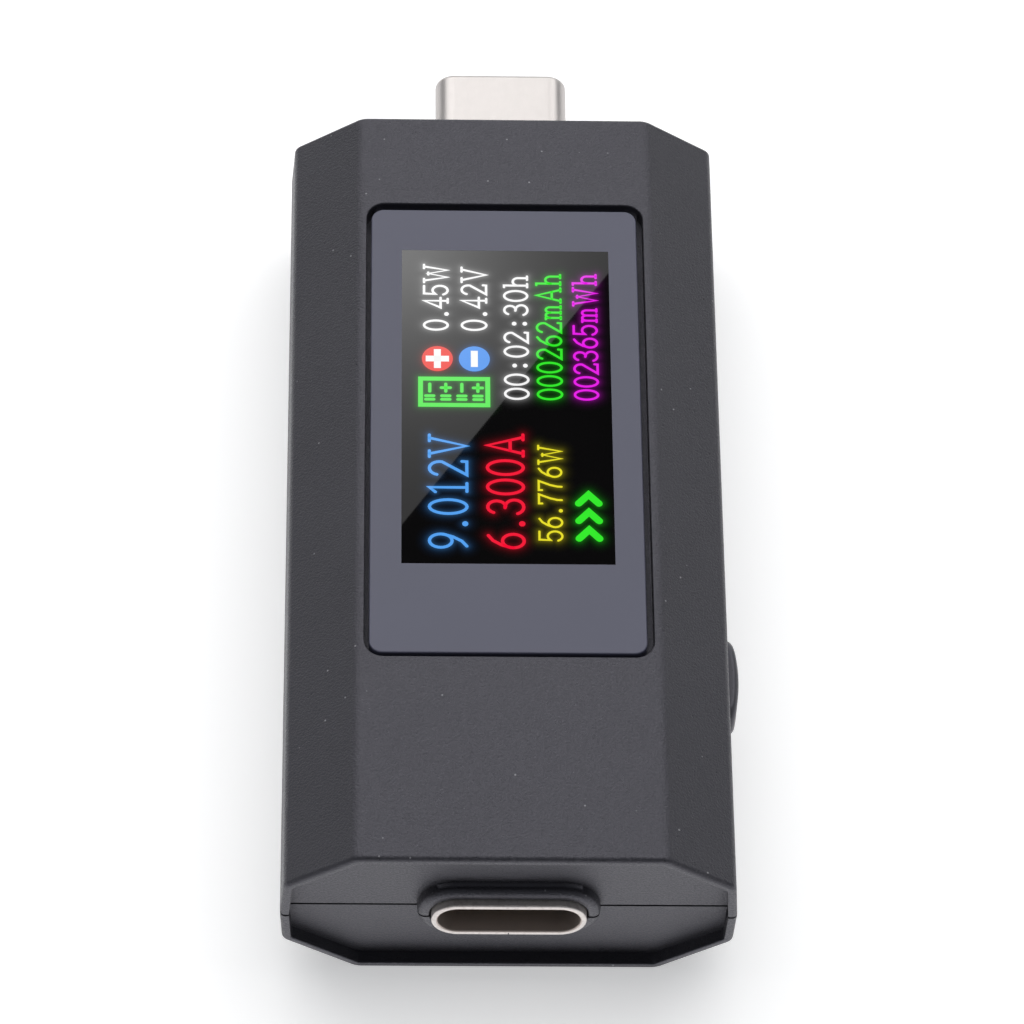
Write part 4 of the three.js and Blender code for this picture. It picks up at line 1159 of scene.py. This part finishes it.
def make_softbox():
    """A large softbox where the window mirrors it to the camera, with a hot spot towards one side."""
    start, way = mirrored_ray((0.0, SCREEN["centre_y"]))
    centre = start + way * SOFTBOX["distance"]
    corner, corner_way = mirrored_ray(GLARE_CORNER)
    hot = corner + corner_way * SOFTBOX["distance"]
    side = Vector((0, 0, 1)).cross(way).normalized() * SOFTBOX["width"] / 2
    rise = way.cross(side).normalized() * SOFTBOX["height"] / 2
    ring = [centre + side * a + rise * b for a, b in ((-1, -1), (1, -1), (1, 1), (-1, 1))]
    panel = loft("softbox", [[tuple(p) for p in ring], [tuple(p + way * SOFTBOX["thick"]) for p in ring]])
    s = Shader("softbox_cloth").set(Emission_Strength=1.0, **NO_SHINE)
    shift = s.nodes.new("ShaderNodeMapping")
    shift.inputs["Location"].default_value = -hot * MM
    s.links.new(s.place, shift.inputs["Vector"])
    length = s.nodes.new("ShaderNodeVectorMath")
    length.operation = "LENGTH"
    s.links.new(shift.outputs["Vector"], length.inputs[0])
    near = s.ramp(length.outputs["Value"], 1.0, 0.0, 0.0, HOT_SPOT["radius"] * MM)
    spot = s.math("MULTIPLY", s.math("POWER", near, HOT_SPOT["power"]), HOT_SPOT["strength"])
    level = s.math("ADD", spot, SOFTBOX["strength"])
    grey = s.nodes.new("ShaderNodeCombineColor")
    for name in ("Red", "Green", "Blue"):
        s.links.new(level, grey.inputs[name])
    s.link(grey.outputs["Color"], "Emission Color")
    panel.data.materials.append(s.material)
    panel.visible_camera = False


def make_bounce_card():
    """A bright card on the floor before the socket. Only reflections see it, mostly in the end face."""
    x = BOUNCE["x"]
    card = block("bounce_card", -x, x, BOUNCE["far"], BOUNCE["near"], *BOUNCE["z"])
    s = Shader("bounce_cloth").set(Emission_Strength=BOUNCE["strength"], **NO_SHINE)
    s.link(s.mix(s.noise(90.0), (0.97, 0.97, 1.0), (1.0, 1.0, 1.0)), "Emission Color")
    card.data.materials.append(s.material)
    card.visible_camera = False
    card.visible_shadow = False
    card.visible_diffuse = False


def make_floor():
    half = FLOOR["half"]
    floor = block("floor", -half, half, -half, half, *FLOOR["z"])
    s = Shader("floor_paper").set(Roughness=0.9, Specular_IOR_Level=0.1)
    s.link(s.mix(s.noise(60.0), (0.82, 0.82, 0.825), (0.84, 0.84, 0.84)), "Base Color")
    s.set(Emission_Color=(1.0, 1.0, 1.0, 1.0), Emission_Strength=FLOOR["glow"])
    floor.data.materials.append(s.material)


def make_world():
    world = bpy.data.worlds.new("world")
    world.use_nodes = True
    inputs = world.node_tree.nodes["Background"].inputs
    inputs["Color"].default_value = WORLD["colour"]
    inputs["Strength"].default_value = WORLD["strength"]
    bpy.context.scene.world = world


def make_studio():
    scene = bpy.context.scene
    scene.view_settings.view_transform = "Standard"
    make_world()
    make_floor()
    make_softbox()
    make_flag()
    make_bounce_card()


# ---------------- carried-over CAD nodes


CAD_EDGE = 0.02


def cad_materials():
    """A material for each of the record's slots that a CAD node still shows."""
    return {
        "window_print": smooth_plastic("ink_frame", (0.11, 0.115, 0.14), 0.4),
        "adhesive": smooth_plastic("tape", (0.02, 0.02, 0.02), 0.8),
        "display_film": smooth_plastic("film", (0.015, 0.015, 0.02), 0.12),
        "display_glass": smooth_plastic("display_glass", (0.02, 0.022, 0.028), 0.08),
        "chip": textured_plastic("epoxy", (0.02, 0.02, 0.022), 0.6, 0.05, 0.004, dust=False),
        "white_plastic": smooth_plastic("white_plastic", (0.72, 0.72, 0.7), 0.45),
        "flex": smooth_plastic("polyimide", (0.45, 0.19, 0.035), 0.35),
        "foam": foam("foam"),
        "board": laminate("solder_mask"),
        "crystal_can": drawn_metal("crystal_can", (0.7, 0.67, 0.6), 0.3),
        "tin": drawn_metal("tin", (0.6, 0.6, 0.62), 0.4),
        "ceramic": smooth_plastic("ceramic", (0.4, 0.26, 0.14), 0.5),
        "steel": drawn_metal("spring_steel", (0.66, 0.63, 0.6), 0.28),
        "port_plastic": smooth_plastic("port_nylon", (0.04, 0.032, 0.028), 0.5),
        "gold": drawn_metal("gold_plate", (0.8, 0.56, 0.2), 0.28),
    }


def dress_cad_nodes():
    """Gives each CAD node that stays its own material, and takes the sharpness off its edges."""
    materials = cad_materials()
    slots = {s["node"]: s["material_slot"] for s in frame["record"]["subparts"]}
    for name, obj in frame["nodes"].items():
        if obj.hide_render:
            continue
        obj.data.materials.clear()
        obj.data.materials.append(materials[slots[name]])
        edge = obj.modifiers.new("edge", "BEVEL")
        edge.width = CAD_EDGE * MM
        edge.segments = 2
        edge.limit_method = "ANGLE"
        edge.angle_limit = math.radians(40)


# ---------------- the whole scene


def make_meter():
    case = textured_plastic("case_plastic", CASE_COLOUR, 0.42)
    case_half("upper_shell", 1.0, case)
    case_half("lower_shell", -1.0, case)
    window_frame(bezel_print("bezel"))
    screen_plate(screen_glass("screen"), make_readout())
    # The socket steel's darker bore is partly oxide and partly painted shade.
    bore = ((SOCKET[0] - SOCKET[1]) / 2, PORT_Z, SOCKET[1] / 2 - SOCKET_WALL + BORE_MARGIN)
    steel = drawn_metal("socket_steel", (0.64, 0.6, 0.575), 0.34, stain=0.3, bore=bore, metallic=0.68)
    socket_shell(steel)
    plug_shell(drawn_metal("plug_nickel", (0.56, 0.53, 0.515), 0.32))
    side_button(textured_plastic("button_plastic", BUTTON_COLOUR, 0.42, 0.14, 0.003))
    switch_dome(drawn_metal("dome_steel", (0.66, 0.63, 0.6), 0.25))
    dress_cad_nodes()


make_camera()
make_studio()
make_meter()
